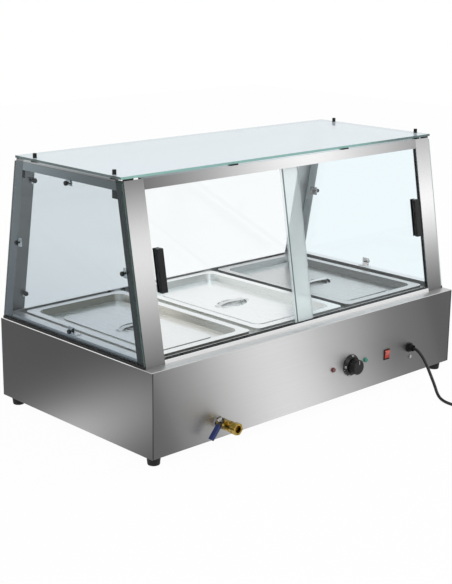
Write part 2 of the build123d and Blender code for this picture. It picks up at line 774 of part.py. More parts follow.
# Cable gland, cord and plug
def cable_gland():
    x, z = left(GLAND_X), up(GLAND_Z)
    nose = FRONT_Y - GLAND_REACH
    body = hex_y(x, z, GLAND_HEX_AF, FRONT_Y, FRONT_Y - GLAND_HEX_T)
    body += cone_y(x, z, GLAND_DOME_R, GLAND_NOSE_R, FRONT_Y - GLAND_HEX_T, nose)
    body += rod_y(x, z, GLAND_THREAD_R, FRONT_Y, PANEL_IN + GLAND_THREAD_IN)
    body += hex_y(x, z, GLAND_NUT_AF, PANEL_IN + GLAND_NUT_T, PANEL_IN)
    body -= rod_y(x, z, GLAND_BORE_R, back(GLAND_BORE_START) - SHEET, PANEL_IN + GLAND_THREAD_IN)
    body -= cone_y(x, z, GLAND_BORE_R, GLAND_MOUTH_R, back(GLAND_BORE_START), nose)
    return body


def turn_radii(points):
    radii = []
    for before, here, after in zip(points, points[1:], points[2:]):
        run_in = Vector(*here) - Vector(*before)
        run_out = Vector(*after) - Vector(*here)
        half_turn = radians(run_in.get_angle(run_out)) / 2
        radii.append(ARC_SHARE * min(run_in.length, run_out.length) / tan(half_turn))
    return radii


def cord_tube():
    points = [place(p) for p in CORD_ROUTE]
    radii = turn_radii(points)
    path = FilletPolyline(*points, radius=radii)
    body = tube_along(path, CORD_R)
    expected = pi * CORD_R ** 2 * path.length
    print("cord arc radii", [round(r) for r in radii], "length", round(path.length, 1))
    print("cord volume", round(body.volume), "section times length", round(expected))
    return body


def biarc(start, start_dir, end, end_dir):
    v = end - start
    t = start_dir + end_dir
    a = t.dot(t) - 4
    b = -2 * v.dot(t)
    c = v.dot(v)
    if abs(a) < NEARLY_ZERO:
        reach = -c / b
    else:
        root = sqrt(b * b - 4 * a * c)
        reach = max((-b - root) / (2 * a), (-b + root) / (2 * a))
    middle = (start + start_dir * reach + end - end_dir * reach) / 2
    join_dir = (end - end_dir * reach - start - start_dir * reach).normalized()
    first = TangentArc(start, middle, tangent=start_dir)
    second = TangentArc(middle, end, tangent=join_dir)
    return [first, second]


def coil_knots():
    cx, cy = left(COIL_X), back(COIL_Y)
    pitch = 2 * CORD_R + COIL_SIDE_GAP
    low = up(CORD_ROUTE[-1][2])
    high = low + 2 * CORD_R + COIL_LAYER_GAP
    radii = [COIL_OUTER_R - pitch / 2 * i for i in range(COIL_HALF_TURNS_IN + 1)]
    levels = [low] * COIL_HALF_TURNS_IN + [high]
    for i in range(COIL_HALF_TURNS_OUT):
        radii.append(radii[-1] + (3 * pitch / 2 if i % 2 == 0 else -pitch / 2))
        levels.append(high)
    knots = []
    for i, (radius, level) in enumerate(zip(radii, levels)):
        side = -1 if i % 2 == 0 else 1
        knots.append((Vector(cx, cy + side * radius, level), Vector(-side, 0, 0)))
    return knots


def coil_path():
    knots = coil_knots()
    edges = [Line(Vector(*place(CORD_ROUTE[-1])), knots[0][0])]
    for (p, tp), (q, tq) in zip(knots, knots[1:]):
        edges += biarc(p, tp, q, tq)
    last, direction = knots[-1]
    end = Vector(*plug_end())
    lift = end - direction * TAIL_END
    edges += biarc(last, direction, lift, direction)
    edges.append(Line(lift, end))
    return Wire(edges)


def coil_self_gap(path):
    steps = int(path.length / COIL_PROBE_STEP)
    points = [path @ (i / steps) for i in range(steps + 1)]
    skip = int(COIL_PROBE_SKIP * CORD_R * steps / path.length)
    least = min(
        (points[i] - points[j]).length
        for i in range(len(points))
        for j in range(i + skip, len(points))
    )
    return least - 2 * CORD_R


def cord_coil():
    path = coil_path()
    body = tube_along(path, CORD_R)
    print("coil length", round(path.length, 1), "least self gap", round(coil_self_gap(path), 2))
    print("coil volume", round(body.volume), "section times length", round(pi * CORD_R ** 2 * path.length))
    return body


def plug_end():
    last, direction = coil_knots()[-1]
    return left(TAIL_X), last.Y, PLUG_BODY_R + PLUG_FLOOR_GAP


def plug():
    x, y, z = plug_end()
    relief = Pos(x + PLUG_RELIEF_LEN / 2, y, z) * Rot(0, 90, 0) * Cone(
        CORD_R + SHEET, PLUG_RELIEF_R, PLUG_RELIEF_LEN)
    start = x + PLUG_RELIEF_LEN
    body = rod_x(y, z, PLUG_BODY_R, start, start + PLUG_BODY_LEN)
    body = fillet(body.edges().group_by(Axis.X)[0], 2 * PLUG_EDGE)
    face = start + PLUG_BODY_LEN
    body += rod_x(y, z, PLUG_FACE_R, face, face + PLUG_FACE_LEN)
    body += relief
    for side in (-1, 1):
        pin = rod_x(y + side * PIN_PITCH / 2, z, PIN_R, face, face + PLUG_FACE_LEN + PIN_LEN)
        body += fillet(pin.edges().group_by(Axis.X)[-1], PIN_R / 2)
    return body


# Wires from the terminal block to the controls, and the cord's inner end
def wiring():
    block_x, block_y = left(BLOCK_X), back(BLOCK_Y)
    block_top = BASE_TOP + BLOCK_H
    cord_in = FilletPolyline(
        (left(GLAND_X), back(GLAND_BORE_START), up(GLAND_Z)),
        (left(GLAND_X), block_y, up(GLAND_Z)),
        (left(GLAND_X), block_y, block_top),
        radius=3 * CORD_R)
    solids = [tube_along(cord_in, CORD_R)]
    heater_y = back(HEATER_END_Y)
    ends = [
        (left(HEATER_LEG_X[1]), heater_y, up(HEATER_Z), -1),
        (left(HEATER_LEG_X[0]), heater_y, up(HEATER_Z), -1),
        (left(SWITCH_X), FRONT_Y + SWITCH_IN, up(SWITCH_Z), 1),
        (left(LAMP_GREEN_X), FRONT_Y + LAMP_IN, up(LAMP_Z), 1),
        (left(KNOB_X) + THERMO_W / 4, PANEL_IN + THERMO_D, up(CONTROL_Z), 1),
        (left(LAMP_RED_X), FRONT_Y + LAMP_IN, up(LAMP_Z), 1),
    ]
    start_x = block_x - BLOCK_W / 2
    step = 2 * WIRE_R + SEAT
    for i, (x, y, z, side) in enumerate(ends):
        lane_y = block_y - BLOCK_D / 2 + WIRE_R + i * step
        lane_z = block_top - WIRE_R - SEAT - i * step
        drop_y = y + side * 2 * WIRE_BEND_R
        path = FilletPolyline(
            (start_x, lane_y, lane_z),
            (x, lane_y, lane_z),
            (x, drop_y, lane_z + WIRE_BEND_R),
            (x, drop_y, z),
            (x, y, z),
            radius=WIRE_BEND_R / 2)
        solids.append(tube_along(path, WIRE_R))
    return solids


# Frame of the glass box
def front_post():
    x0, x1 = LEFT_X + POST_SIDE, LEFT_X + POST_IN
    body = lean_bar(x0, x1, 0, POST_T, 0, BOX_TOP)
    body += lean_bar(x0, x0 + POST_T, 0, POST_FLANGE, 0, BOX_TOP)
    body += lean_bar(x1 - POST_T, x1, 0, POST_RETURN, 0, BOX_TOP)
    return body


def rear_post():
    x0, x1 = LEFT_X + POST_SIDE, LEFT_X + POST_IN
    body = lean_bar(x0, x1, 0, POST_T, 0, BOX_TOP, rear_point)
    body += lean_bar(x0, x0 + POST_T, 0, POST_FLANGE, 0, BOX_TOP, rear_point)
    for height in REAR_CLIP_H:
        y, z = rear_point(0, height)
        body -= rod_y(left(REAR_CLIP_X), z, SCREW_HOLE_R, y - 2 * POST_FLANGE, y + POST_FLANGE)
    return body


def bottom_rails():
    x0 = LEFT_X + POST_SIDE + POST_T + SEAT
    x1 = x0 + RAIL_W
    d_rear = REAR_GLASS_D + GLASS_T + RAIL_REAR_T + 2 * SEAT
    outer = side_plate(x0, x1, POST_T + SEAT, d_rear + SEAT, 0, RAIL_LOW_H)
    inner = side_plate(x0 + RAIL_T, x1 - RAIL_T, 0, 0, RAIL_T, RAIL_LOW_H - RAIL_T)
    sides = pair(outer - inner)
    edge = LEFT_X + REAR_GLASS_X
    start = REAR_GLASS_D + GLASS_T + SEAT
    rear = lean_bar(edge, -edge, start, start + RAIL_REAR_T, 0, RAIL_LOW_H, rear_point)
    return sides + [rear]


def top_rails():
    x0 = LEFT_X + POST_SIDE
    gap = POST_FLANGE + SEAT
    low = BOX_TOP - RAIL_TOP_H
    body = side_plate(x0, x0 + RAIL_T, gap, gap, low, BOX_TOP)
    body += side_plate(x0, x0 + RAIL_W, gap, gap, BOX_TOP - RAIL_T, BOX_TOP)
    for y in STUD_Y:
        body -= rod_z(left(STUD_X), back(y), STUD_HOLE_R, DECK_Z + low, DECK_Z + BOX_TOP + RAIL_T)
    edge = LEFT_X + POST_IN + SEAT
    rear = lean_bar(edge, -edge, 0, RAIL_T, low, BOX_TOP, rear_point)
    rear += lean_bar(edge, -edge, 0, TRACK_D, BOX_TOP - RAIL_T, BOX_TOP, rear_point)
    return pair(body) + [rear]


def top_rail_front():
    edge = LEFT_X + POST_IN + SEAT
    low = BOX_TOP - RAIL_TOP_H
    body = lean_bar(edge, -edge, 0, RAIL_T, low, BOX_TOP)
    body += lean_bar(edge, -edge, 0, TRACK_D, BOX_TOP - RAIL_T, BOX_TOP)
    body += lean_bar(edge, -edge, TRACK_D - RAIL_T, TRACK_D, low, BOX_TOP)
    return body


def door_track():
    edge = LEFT_X + POST_IN + SEAT
    body = lean_bar(edge, -edge, 0, RAIL_T, 0, TRACK_H)
    body += lean_bar(edge, -edge, 0, TRACK_D, 0, RAIL_T)
    body += lean_bar(edge, -edge, TRACK_D - RAIL_T, TRACK_D, 0, TRACK_H)
    return body


def track_inserts():
    edge = LEFT_X + POST_IN + SEAT
    d0, d1 = LINER_D
    low = lean_bar(edge, -edge, d0, d1, RAIL_T, TRACK_LINER_H)
    high = lean_bar(edge, -edge, d0, d1, UPPER_SLOT_LOW, BOX_TOP - RAIL_T)
    for s0, s1 in (SLOT_OUTER, SLOT_INNER):
        low -= lean_bar(edge - SHEET, SHEET - edge, s0, s1, SLOT_FLOOR, TRACK_LINER_H + RAIL_T)
        high -= lean_bar(edge - SHEET, SHEET - edge, s0, s1, UPPER_SLOT_LOW - RAIL_T, UPPER_SLOT_HIGH)
    return [low, high]


# Sliding doors
def handle_bolts(x, depth, radius, reach):
    h0, h1 = HANDLE_H
    bolts = []
    for height in (h0 + HANDLE_BOLT_INSET, h1 - HANDLE_BOLT_INSET):
        y, z = front_point(depth, height)
        bolts.append(rod_y(x, z, radius, y - reach, y + reach))
    return bolts[0] + bolts[1]


def door(x0, x1, depth, handle_x):
    body = lean_bar(left(x0), left(x1), depth, depth + PANE_DEPTH, DOOR_LOW, DOOR_HIGH)
    return body - handle_bolts(left(handle_x), depth, HANDLE_BOLT_HOLE_R, POST_FLANGE)


def door_handle(handle_x, depth):
    x0, x1 = left(handle_x) - HANDLE_W / 2, left(handle_x) + HANDLE_W / 2
    h0, h1 = HANDLE_H
    grip = lean_bar(x0, x1, depth - HANDLE_D, depth, h0, h1)
    near_edges = grip.edges().group_by(Axis.Y)[0] + grip.edges().filter_by(Axis.X).group_by(Axis.Y)[0]
    grip = fillet(near_edges, SHEET)
    plate = lean_bar(x0, x1, depth + PANE_DEPTH, depth + PANE_DEPTH + HANDLE_PLATE_T, h0, h1)
    bolts = handle_bolts(left(handle_x), depth + PANE_DEPTH / 2, HANDLE_BOLT_R, PANE_DEPTH / 2 + SHEET)
    return grip + plate + bolts


def door_seal(x0, x1, depth):
    return lean_bar(left(x0), left(x1), depth - SEAL_LIP / 2, depth + PANE_DEPTH + SEAL_LIP / 2,
                    TRACK_LINER_H + SHEET, UPPER_SLOT_LOW - SHEET)


# Fixed glass, clips and screws
def side_screw_places():
    low_y = CLIP_MID_Y
    post_y, post_z = front_point(POST_FLANGE, CLIP_POST_H)
    rear_y, rear_z = rear_point(POST_FLANGE, CLIP_POST_H)
    rail_h = BOX_TOP - RAIL_TOP_H
    return [
        ("low", back(low_y), DECK_Z + CLIP_LOW_H),
        ("top", back(low_y), DECK_Z + rail_h - CLIP_SCREW_IN),
        ("front", post_y + CLIP_SCREW_IN, post_z),
        ("rear", rear_y - CLIP_SCREW_IN, rear_z),
    ]


def side_glass():
    x0 = LEFT_X + GLASS_SIDE
    body = side_plate(x0, x0 + GLASS_T, SIDE_GLASS_FRONT, SIDE_GLASS_FRONT, GLASS_LOW, GLASS_HIGH)
    for kind, y, z in side_screw_places():
        body -= rod_x(y, z, SCREW_HOLE_R, x0 - SHEET, x0 + GLASS_T + SHEET)
    return body


def rear_glass():
    edge = LEFT_X + REAR_GLASS_X
    body = lean_bar(edge, -edge, REAR_GLASS_D, REAR_GLASS_D + GLASS_T, SEAT, GLASS_HIGH, rear_point)
    for height in REAR_CLIP_H:
        y, z = rear_point(REAR_GLASS_D, height)
        for side in (-1, 1):
            body -= rod_y(side * left(REAR_CLIP_X), z, SCREW_HOLE_R, y - 2 * POST_FLANGE, y + POST_FLANGE)
    return body


def top_glass():
    z0 = DECK_Z + BOX_TOP + PAD_T
    edge = LEFT_X + TOP_GLASS_INSET
    body = slab(edge, -edge, back(TOP_GLASS_FRONT), back(TOP_GLASS_BACK), z0, z0 + TOP_GLASS_T)
    for y in STUD_Y:
        for side in (-1, 1):
            body -= rod_z(side * left(STUD_X), back(y), STUD_HOLE_R, z0 - PAD_T, z0 + 2 * TOP_GLASS_T)
    return body


def side_clip(kind, y, z):
    glass_in = LEFT_X + GLASS_SIDE + GLASS_T + SEAT
    plate_x = LEFT_X + POST_SIDE + POST_T
    boss = rod_x(y, z, CLIP_BOSS_R, glass_in, plate_x)
    half = CLIP_W / 2
    past = CLIP_REACH - CLIP_SCREW_IN
    lap = CLIP_LAP + CLIP_SCREW_IN
    if kind == "low":
        body = slab(glass_in, glass_in + CLIP_T, y - half, y + half,
                    DECK_Z + RAIL_LOW_H, DECK_Z + CLIP_LOW_LEG)
        body += slab(glass_in, glass_in + CLIP_LOW_FOOT, y - half, y + half,
                     DECK_Z + RAIL_LOW_H, DECK_Z + RAIL_LOW_H + CLIP_T)
    elif kind == "top":
        body = slab(plate_x, plate_x + CLIP_T, y - half, y + half, z - past, z + lap) + boss
    elif kind == "front":
        body = slab(plate_x, plate_x + CLIP_T, y - lap, y + past, z - half, z + half) + boss
    else:
        body = slab(plate_x, plate_x + CLIP_T, y - past, y + lap, z - half, z + half) + boss
    return body - rod_x(y, z, SCREW_R, glass_in - SHEET, plate_x + 2 * CLIP_T)


def rear_clip(height):
    y, z = rear_point(REAR_GLASS_D + GLASS_T, height)
    x = left(REAR_CLIP_X)
    start = REAR_GLASS_D + GLASS_T
    half = REAR_CLIP_W / 2
    body = lean_bar(x - half, x + half, start, start + CLIP_T, height - half, height + half, rear_point)
    return body - rod_y(x, z, SCREW_R, y - POST_FLANGE, y + POST_FLANGE)


def glass_clips():
    solids = []
    for kind, y, z in side_screw_places():
        solids += pair(side_clip(kind, y, z))
    for height in REAR_CLIP_H:
        solids += pair(rear_clip(height))
    return solids


def side_screw(kind, y, z):
    outer = LEFT_X + GLASS_SIDE
    head = rod_x(y, z, SCREW_HEAD_R, outer - SCREW_HEAD_T, outer)
    head = chamfer(head.edges().group_by(Axis.X)[0], SHEET)
    plate_x = LEFT_X + POST_SIDE + POST_T + CLIP_T
    return head + rod_x(y, z, SCREW_R, outer, plate_x + SCREW_TAIL)


def rear_screw(height):
    x = left(REAR_CLIP_X)
    plate_y, z = rear_point(REAR_GLASS_D + GLASS_T + CLIP_T, height)
    seat_y = plate_y - SCREW_HEAD_R * LEAN_T
    head = rod_y(x, z, SCREW_HEAD_R, seat_y - SCREW_HEAD_T, seat_y)
    head = chamfer(head.edges().group_by(Axis.Y)[0], SHEET)
    end_y, z = rear_point(0, height)
    return head + rod_y(x, z, SCREW_R, seat_y, end_y + SCREW_TAIL)


def clip_screws():
    solids = []
    for kind, y, z in side_screw_places():
        solids += pair(side_screw(kind, y, z))
    for height in REAR_CLIP_H:
        solids += pair(rear_screw(height))
    return solids


def top_studs():
    glass_top = DECK_Z + BOX_TOP + PAD_T + TOP_GLASS_T
    rail_under = DECK_Z + BOX_TOP - RAIL_T
    solids = []
    for y in STUD_Y:
        x = left(STUD_X)
        head = rod_z(x, back(y), STUD_HEAD_R, glass_top, glass_top + STUD_HEAD_H)
        head = fillet(head.edges().group_by(Axis.Z)[-1], SHEET)
        shank = rod_z(x, back(y), STUD_SHANK_R, rail_under - STUD_NUT_T, glass_top)
        nut = rod_z(x, back(y), STUD_NUT_R, rail_under - STUD_NUT_T, rail_under)
        solids += pair(head + shank + nut)
    return solids


def rubber_pads():
    z0, z1 = DECK_Z + BOX_TOP, DECK_Z + BOX_TOP + PAD_T
    solids = []
    for y in STUD_Y:
        ring = rod_z(left(STUD_X), back(y), PAD_R, z0, z1) - rod_z(left(STUD_X), back(y), STUD_HOLE_R, z0, z1)
        solids += pair(ring)
    d0, d1 = PAD_D
    front_y = front_point(0, BOX_TOP)[0]
    rear_y = rear_point(0, BOX_TOP)[0]
    pad_left, pad_right = -FRONT_PAD_X - FRONT_PAD_L / 2, -FRONT_PAD_X + FRONT_PAD_L / 2
    front = slab(pad_left, pad_right, front_y + d0, front_y + d1, z0, z1)
    rear = slab(pad_left, pad_right, rear_y - d1, rear_y - d0, z0, z1)
    solids += pair(front) + pair(rear)
    x0 = LEFT_X + POST_SIDE
    corner = slab(x0, x0 + CORNER_PAD_L, front_y + SHEET, front_y + d0 + SHEET, z0, z1)
    corner_rear = slab(x0, x0 + CORNER_PAD_L, rear_y - d0 - SHEET, rear_y - SHEET, z0, z1)
    solids += pair(corner) + pair(corner_rear)
    tab_x = LEFT_X + POST_SIDE + POST_T
    for y in (TAB_FRONT_Y, TAB_REAR_Y):
        tab = slab(tab_x, tab_x + TAB_T, back(y) - TAB_W / 2, back(y) + TAB_W / 2,
                   DECK_Z + TAB_H[0], DECK_Z + TAB_H[1])
        solids += pair(tab)
    s0, s1 = SIDE_SEAL_X
    strip = side_plate(LEFT_X + s0, LEFT_X + s1, SIDE_GLASS_FRONT, SIDE_GLASS_FRONT, 0, SIDE_SEAL_H)
    solids += pair(strip)
    start = REAR_GLASS_D + GLASS_T + RAIL_REAR_T + SEAT
    for x in BUFFER_X:
        y, z = rear_point(start, BUFFER_H)
        disc = extrude(Circle(BUFFER_R), amount=BUFFER_T)
        solids.append(Pos(left(x), y, z) * Rot(90 + LEAN, 0, 0) * disc)
    return solids


# Pans and lids
def pan(x):
    flange_w = LID_W - 2 * LID_T - 2 * PAN_LIP_GAP
    flange_l = LID_L - 2 * LID_T - 2 * PAN_LIP_GAP
    top = DECK_Z + LID_TOP - LID_T - PAN_LID_GAP
    corner = LID_CORNER_R - LID_T - PAN_LIP_GAP
    rim = rounded_block(x, PAN_Y, flange_w, flange_l, corner, DECK_Z, top)
    rim -= rounded_block(x, PAN_Y, flange_w - 2 * PAN_T, flange_l - 2 * PAN_T, corner - PAN_T,
                         DECK_Z, top - PAN_T)
    taper = degrees(atan2(PAN_TAPER, PAN_DEPTH))
    outer = extrude(RectangleRounded(PAN_MOUTH_W + 2 * PAN_T, PAN_MOUTH_L + 2 * PAN_T, PAN_R),
                    amount=-PAN_DEPTH, taper=taper)
    inner = extrude(RectangleRounded(PAN_MOUTH_W, PAN_MOUTH_L, PAN_R - PAN_T),
                    amount=-(PAN_DEPTH - PAN_T), taper=taper)
    outer = fillet(outer.edges().group_by(Axis.Z)[0], PAN_FLOOR_R)
    inner = fillet(inner.edges().group_by(Axis.Z)[0], PAN_FLOOR_R - PAN_T)
    return rim + Pos(x, PAN_Y, top) * outer - Pos(x, PAN_Y, top) * inner


def plateau_top():
    return DECK_Z + LID_TOP - RECESS_DEPTH + PLATEAU_RISE


def lid(x):
    top = DECK_Z + LID_TOP
    plate = rounded_block(x, PAN_Y, LID_W, LID_L, LID_CORNER_R, top - LID_LIP, top)
    plate -= rounded_block(x, PAN_Y, LID_W - 2 * LID_T, LID_L - 2 * LID_T, LID_CORNER_R - LID_T,
                           top - LID_LIP, top - LID_T)
    taper = degrees(atan2(RECESS_SLOPE, RECESS_DEPTH))
    outer = extrude(RectangleRounded(RECESS_W + 2 * LID_T, RECESS_L + 2 * LID_T, RECESS_R + LID_T),
                    amount=-(RECESS_DEPTH + LID_T), taper=taper)
    inner = extrude(RectangleRounded(RECESS_W, RECESS_L, RECESS_R), amount=-RECESS_DEPTH, taper=taper)
    dish = Ellipse(DISH_W / 2 + DISH_T, DISH_L / 2 + DISH_T)
    bowl = Ellipse(DISH_W / 2, DISH_L / 2)
    wide, long = RECESS_W - 2 * PLATEAU_INSET, RECESS_L - 2 * PLATEAU_INSET
    step = extrude(RectangleRounded(wide, long, PLATEAU_R), amount=PLATEAU_RISE)
    hollow = extrude(RectangleRounded(wide - 2 * LID_T, long - 2 * LID_T, PLATEAU_R - LID_T),
                     amount=PLATEAU_RISE)
    inner -= Pos(0, 0, -RECESS_DEPTH) * step
    outer -= Pos(0, 0, -RECESS_DEPTH - LID_T) * hollow
    floor = PLATEAU_RISE - RECESS_DEPTH
    dish_out = Pos(0, 0, floor) * extrude(dish, amount=-(DISH_DEPTH + DISH_T))
    dish_in = Pos(0, 0, floor + SHEET) * extrude(bowl, amount=-(DISH_DEPTH + SHEET))
    body = plate + Pos(x, PAN_Y, top) * (outer + dish_out)
    return body - Pos(x, PAN_Y, top) * inner - Pos(x, PAN_Y, top) * dish_in


def lid_handle(x):
    floor = plateau_top()
    half = STRAP_LEN / 2
    shoulder = half - STRAP_FOOT
    arch = shoulder - 2 * STRAP_RISE
    under = [(-half, 0), (-shoulder, 0), (-arch, STRAP_RISE), (arch, STRAP_RISE), (shoulder, 0), (half, 0)]
    over = [(px, pz + STRAP_T) for px, pz in reversed(under)]
    face = Plane.XZ * Polygon(*under, *over, align=None)
    return Pos(x, PAN_Y, floor) * extrude(face, amount=STRAP_W / 2, both=True)


def build_body():
    save("front_panel", front_panel())
    save("left_panel", left_panel())
    save("right_panel", mirror(left_panel(), about=Plane.YZ))
    save("back_panel", back_panel())
    save("base_plate", base_plate())
    save("feet", [foot(x, y) for x, y in foot_places()] + [foot_bolt(x, y) for x, y in foot_places()])
    save("top_deck", top_deck())
    save("water_tank", water_tank())
    save("heater", heater())


def build_valve():
    save("drain_fitting", drain_fitting())
    save("valve_body", valve_body())
    save("valve_ball", valve_ball())
    save("valve_lever", valve_lever())
    save("lever_sleeve", lever_sleeve())
    save("lever_nut", lever_nut())


def build_controls():
    save("thermostat_body", thermostat_body())
    save("thermostat_bulb", thermostat_bulb())
    save("thermostat_shaft", thermostat_shaft())
    save("thermostat_knob", thermostat_knob())
    save("lamp_red", lamp(LAMP_RED_X))
    save("lamp_green", lamp(LAMP_GREEN_X))
    save("rocker_housing", rocker_housing())
    save("rocker", rocker())
    save("terminal_block", terminal_block())
    save("earth_screw", earth_screw())
    save("wiring", wiring())


def build_cord():
    save("cable_gland", cable_gland())
    save("cord_tube", cord_tube())
    save("cord_coil", cord_coil())
    save("plug", plug())


def build_frame():
    save("posts_front", pair(front_post()))
    save("posts_rear", pair(rear_post()))
    save("bottom_rails", bottom_rails())
    save("top_rails", top_rails())
    save("top_rail_front", top_rail_front())
    save("door_track", door_track())
    save("track_inserts", track_inserts())


def build_glass():
    save("glass_left", side_glass())
    save("glass_right", mirror(side_glass(), about=Plane.YZ))
    save("glass_rear", rear_glass())
    save("glass_top", top_glass())
    save("glass_clips", glass_clips())
    save("clip_screws", clip_screws())
    save("top_studs", top_studs())
    save("rubber_pads", rubber_pads())


def build_doors():
    left_x = HANDLE_X + HANDLE_W / 2
    right_x = BODY_W - left_x
    save("door_left", door(DOOR_START, LEFT_DOOR_END, PANE_INNER_D, left_x))
    save("door_right", door(RIGHT_DOOR_END, BODY_W - DOOR_START, PANE_OUTER_D, right_x))
    save("handle_left", door_handle(left_x, PANE_INNER_D))
    save("handle_right", door_handle(right_x, PANE_OUTER_D))
    save("seal_left", door_seal(DOOR_START - SEAL_W, DOOR_START, PANE_INNER_D))
    save("seal_right", door_seal(BODY_W - DOOR_START, BODY_W - DOOR_START + SEAL_W, PANE_OUTER_D))


def build_pans():
    for i, x in enumerate(PAN_XS):
        number = str(i + 1)
        save("pan_" + number, pan(x))
        save("lid_" + number, lid(x))
        save("lid_handle_" + number, lid_handle(x))


build_body()
build_valve()
build_controls()
build_cord()
build_frame()
build_glass()
build_doors()
build_pans()
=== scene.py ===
from math import cos, pi, radians, sin

import bpy
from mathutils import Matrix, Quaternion, Vector


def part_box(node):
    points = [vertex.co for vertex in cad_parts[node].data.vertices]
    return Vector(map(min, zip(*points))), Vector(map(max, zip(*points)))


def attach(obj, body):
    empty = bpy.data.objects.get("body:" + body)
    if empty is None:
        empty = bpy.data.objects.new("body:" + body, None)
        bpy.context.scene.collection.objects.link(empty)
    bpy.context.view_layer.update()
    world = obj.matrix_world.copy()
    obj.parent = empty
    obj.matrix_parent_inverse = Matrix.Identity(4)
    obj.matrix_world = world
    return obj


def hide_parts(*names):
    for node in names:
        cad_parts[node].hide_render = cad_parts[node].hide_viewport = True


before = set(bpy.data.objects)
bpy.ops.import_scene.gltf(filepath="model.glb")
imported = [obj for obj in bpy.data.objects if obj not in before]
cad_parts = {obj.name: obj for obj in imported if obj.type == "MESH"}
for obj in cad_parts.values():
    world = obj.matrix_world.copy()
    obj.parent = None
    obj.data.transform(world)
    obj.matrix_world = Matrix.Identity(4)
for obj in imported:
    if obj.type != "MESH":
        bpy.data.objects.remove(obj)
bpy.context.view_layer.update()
scene = bpy.context.scene

# Body size in metres, and the corner that the route and the controls are measured from
BODY_W = 1.130
BODY_D = 0.612
BODY_H = 0.214
BOX_H = 0.43
FOOT_H = 0.025
VALVE_REACH = 0.070
LEFT_X = -BODY_W / 2
FRONT_Y = -(BODY_D - VALVE_REACH) / 2
DECK_Z = FOOT_H + BODY_H
LEAN = radians(10.0)
MM = 1000

# Camera, solved from the edges of the object in the photograph
CAMERA_AT = Vector((-2.31858, -2.35076, 1.16536))
CAMERA_TO = Vector((0.02405, 0.10433, 0.25100))
CAMERA_ROLL = radians(0.664)
CAMERA_LENS = 77.31
CAMERA_SENSOR = 36.0
CAMERA_FAR = 50.0


def place(x, y, z):
    """A place given in millimetres from the left side, the front face and the underside."""
    return Vector((LEFT_X + x / MM, FRONT_Y + y / MM, FOOT_H + z / MM))


def add_camera():
    data = bpy.data.cameras.new("camera")
    data.lens = CAMERA_LENS
    data.sensor_width = CAMERA_SENSOR
    data.clip_end = CAMERA_FAR
    camera = bpy.data.objects.new("camera", data)
    scene.collection.objects.link(camera)
    camera.location = CAMERA_AT
    aim = (CAMERA_TO - CAMERA_AT).to_track_quat("-Z", "Y")
    camera.rotation_mode = "QUATERNION"
    camera.rotation_quaternion = aim @ Quaternion((0, 0, 1), CAMERA_ROLL)
    scene.camera = camera


def add_mesh(name, verts, faces, material):
    mesh = bpy.data.meshes.new(name)
    mesh.from_pydata(verts, [], faces)
    mesh.materials.append(material)
    piece = bpy.data.objects.new(name, mesh)
    scene.collection.objects.link(piece)
    return piece


# Node helpers
NOISE_LOW = 0.3
NOISE_HIGH = 0.7
NOISE_ROUGH = 0.6
X, Y, Z = range(3)
MIX_COLOUR_A = 6
MIX_COLOUR_B = 7
MIX_COLOUR_OUT = 2


def is_socket(value):
    return isinstance(value, bpy.types.NodeSocket)


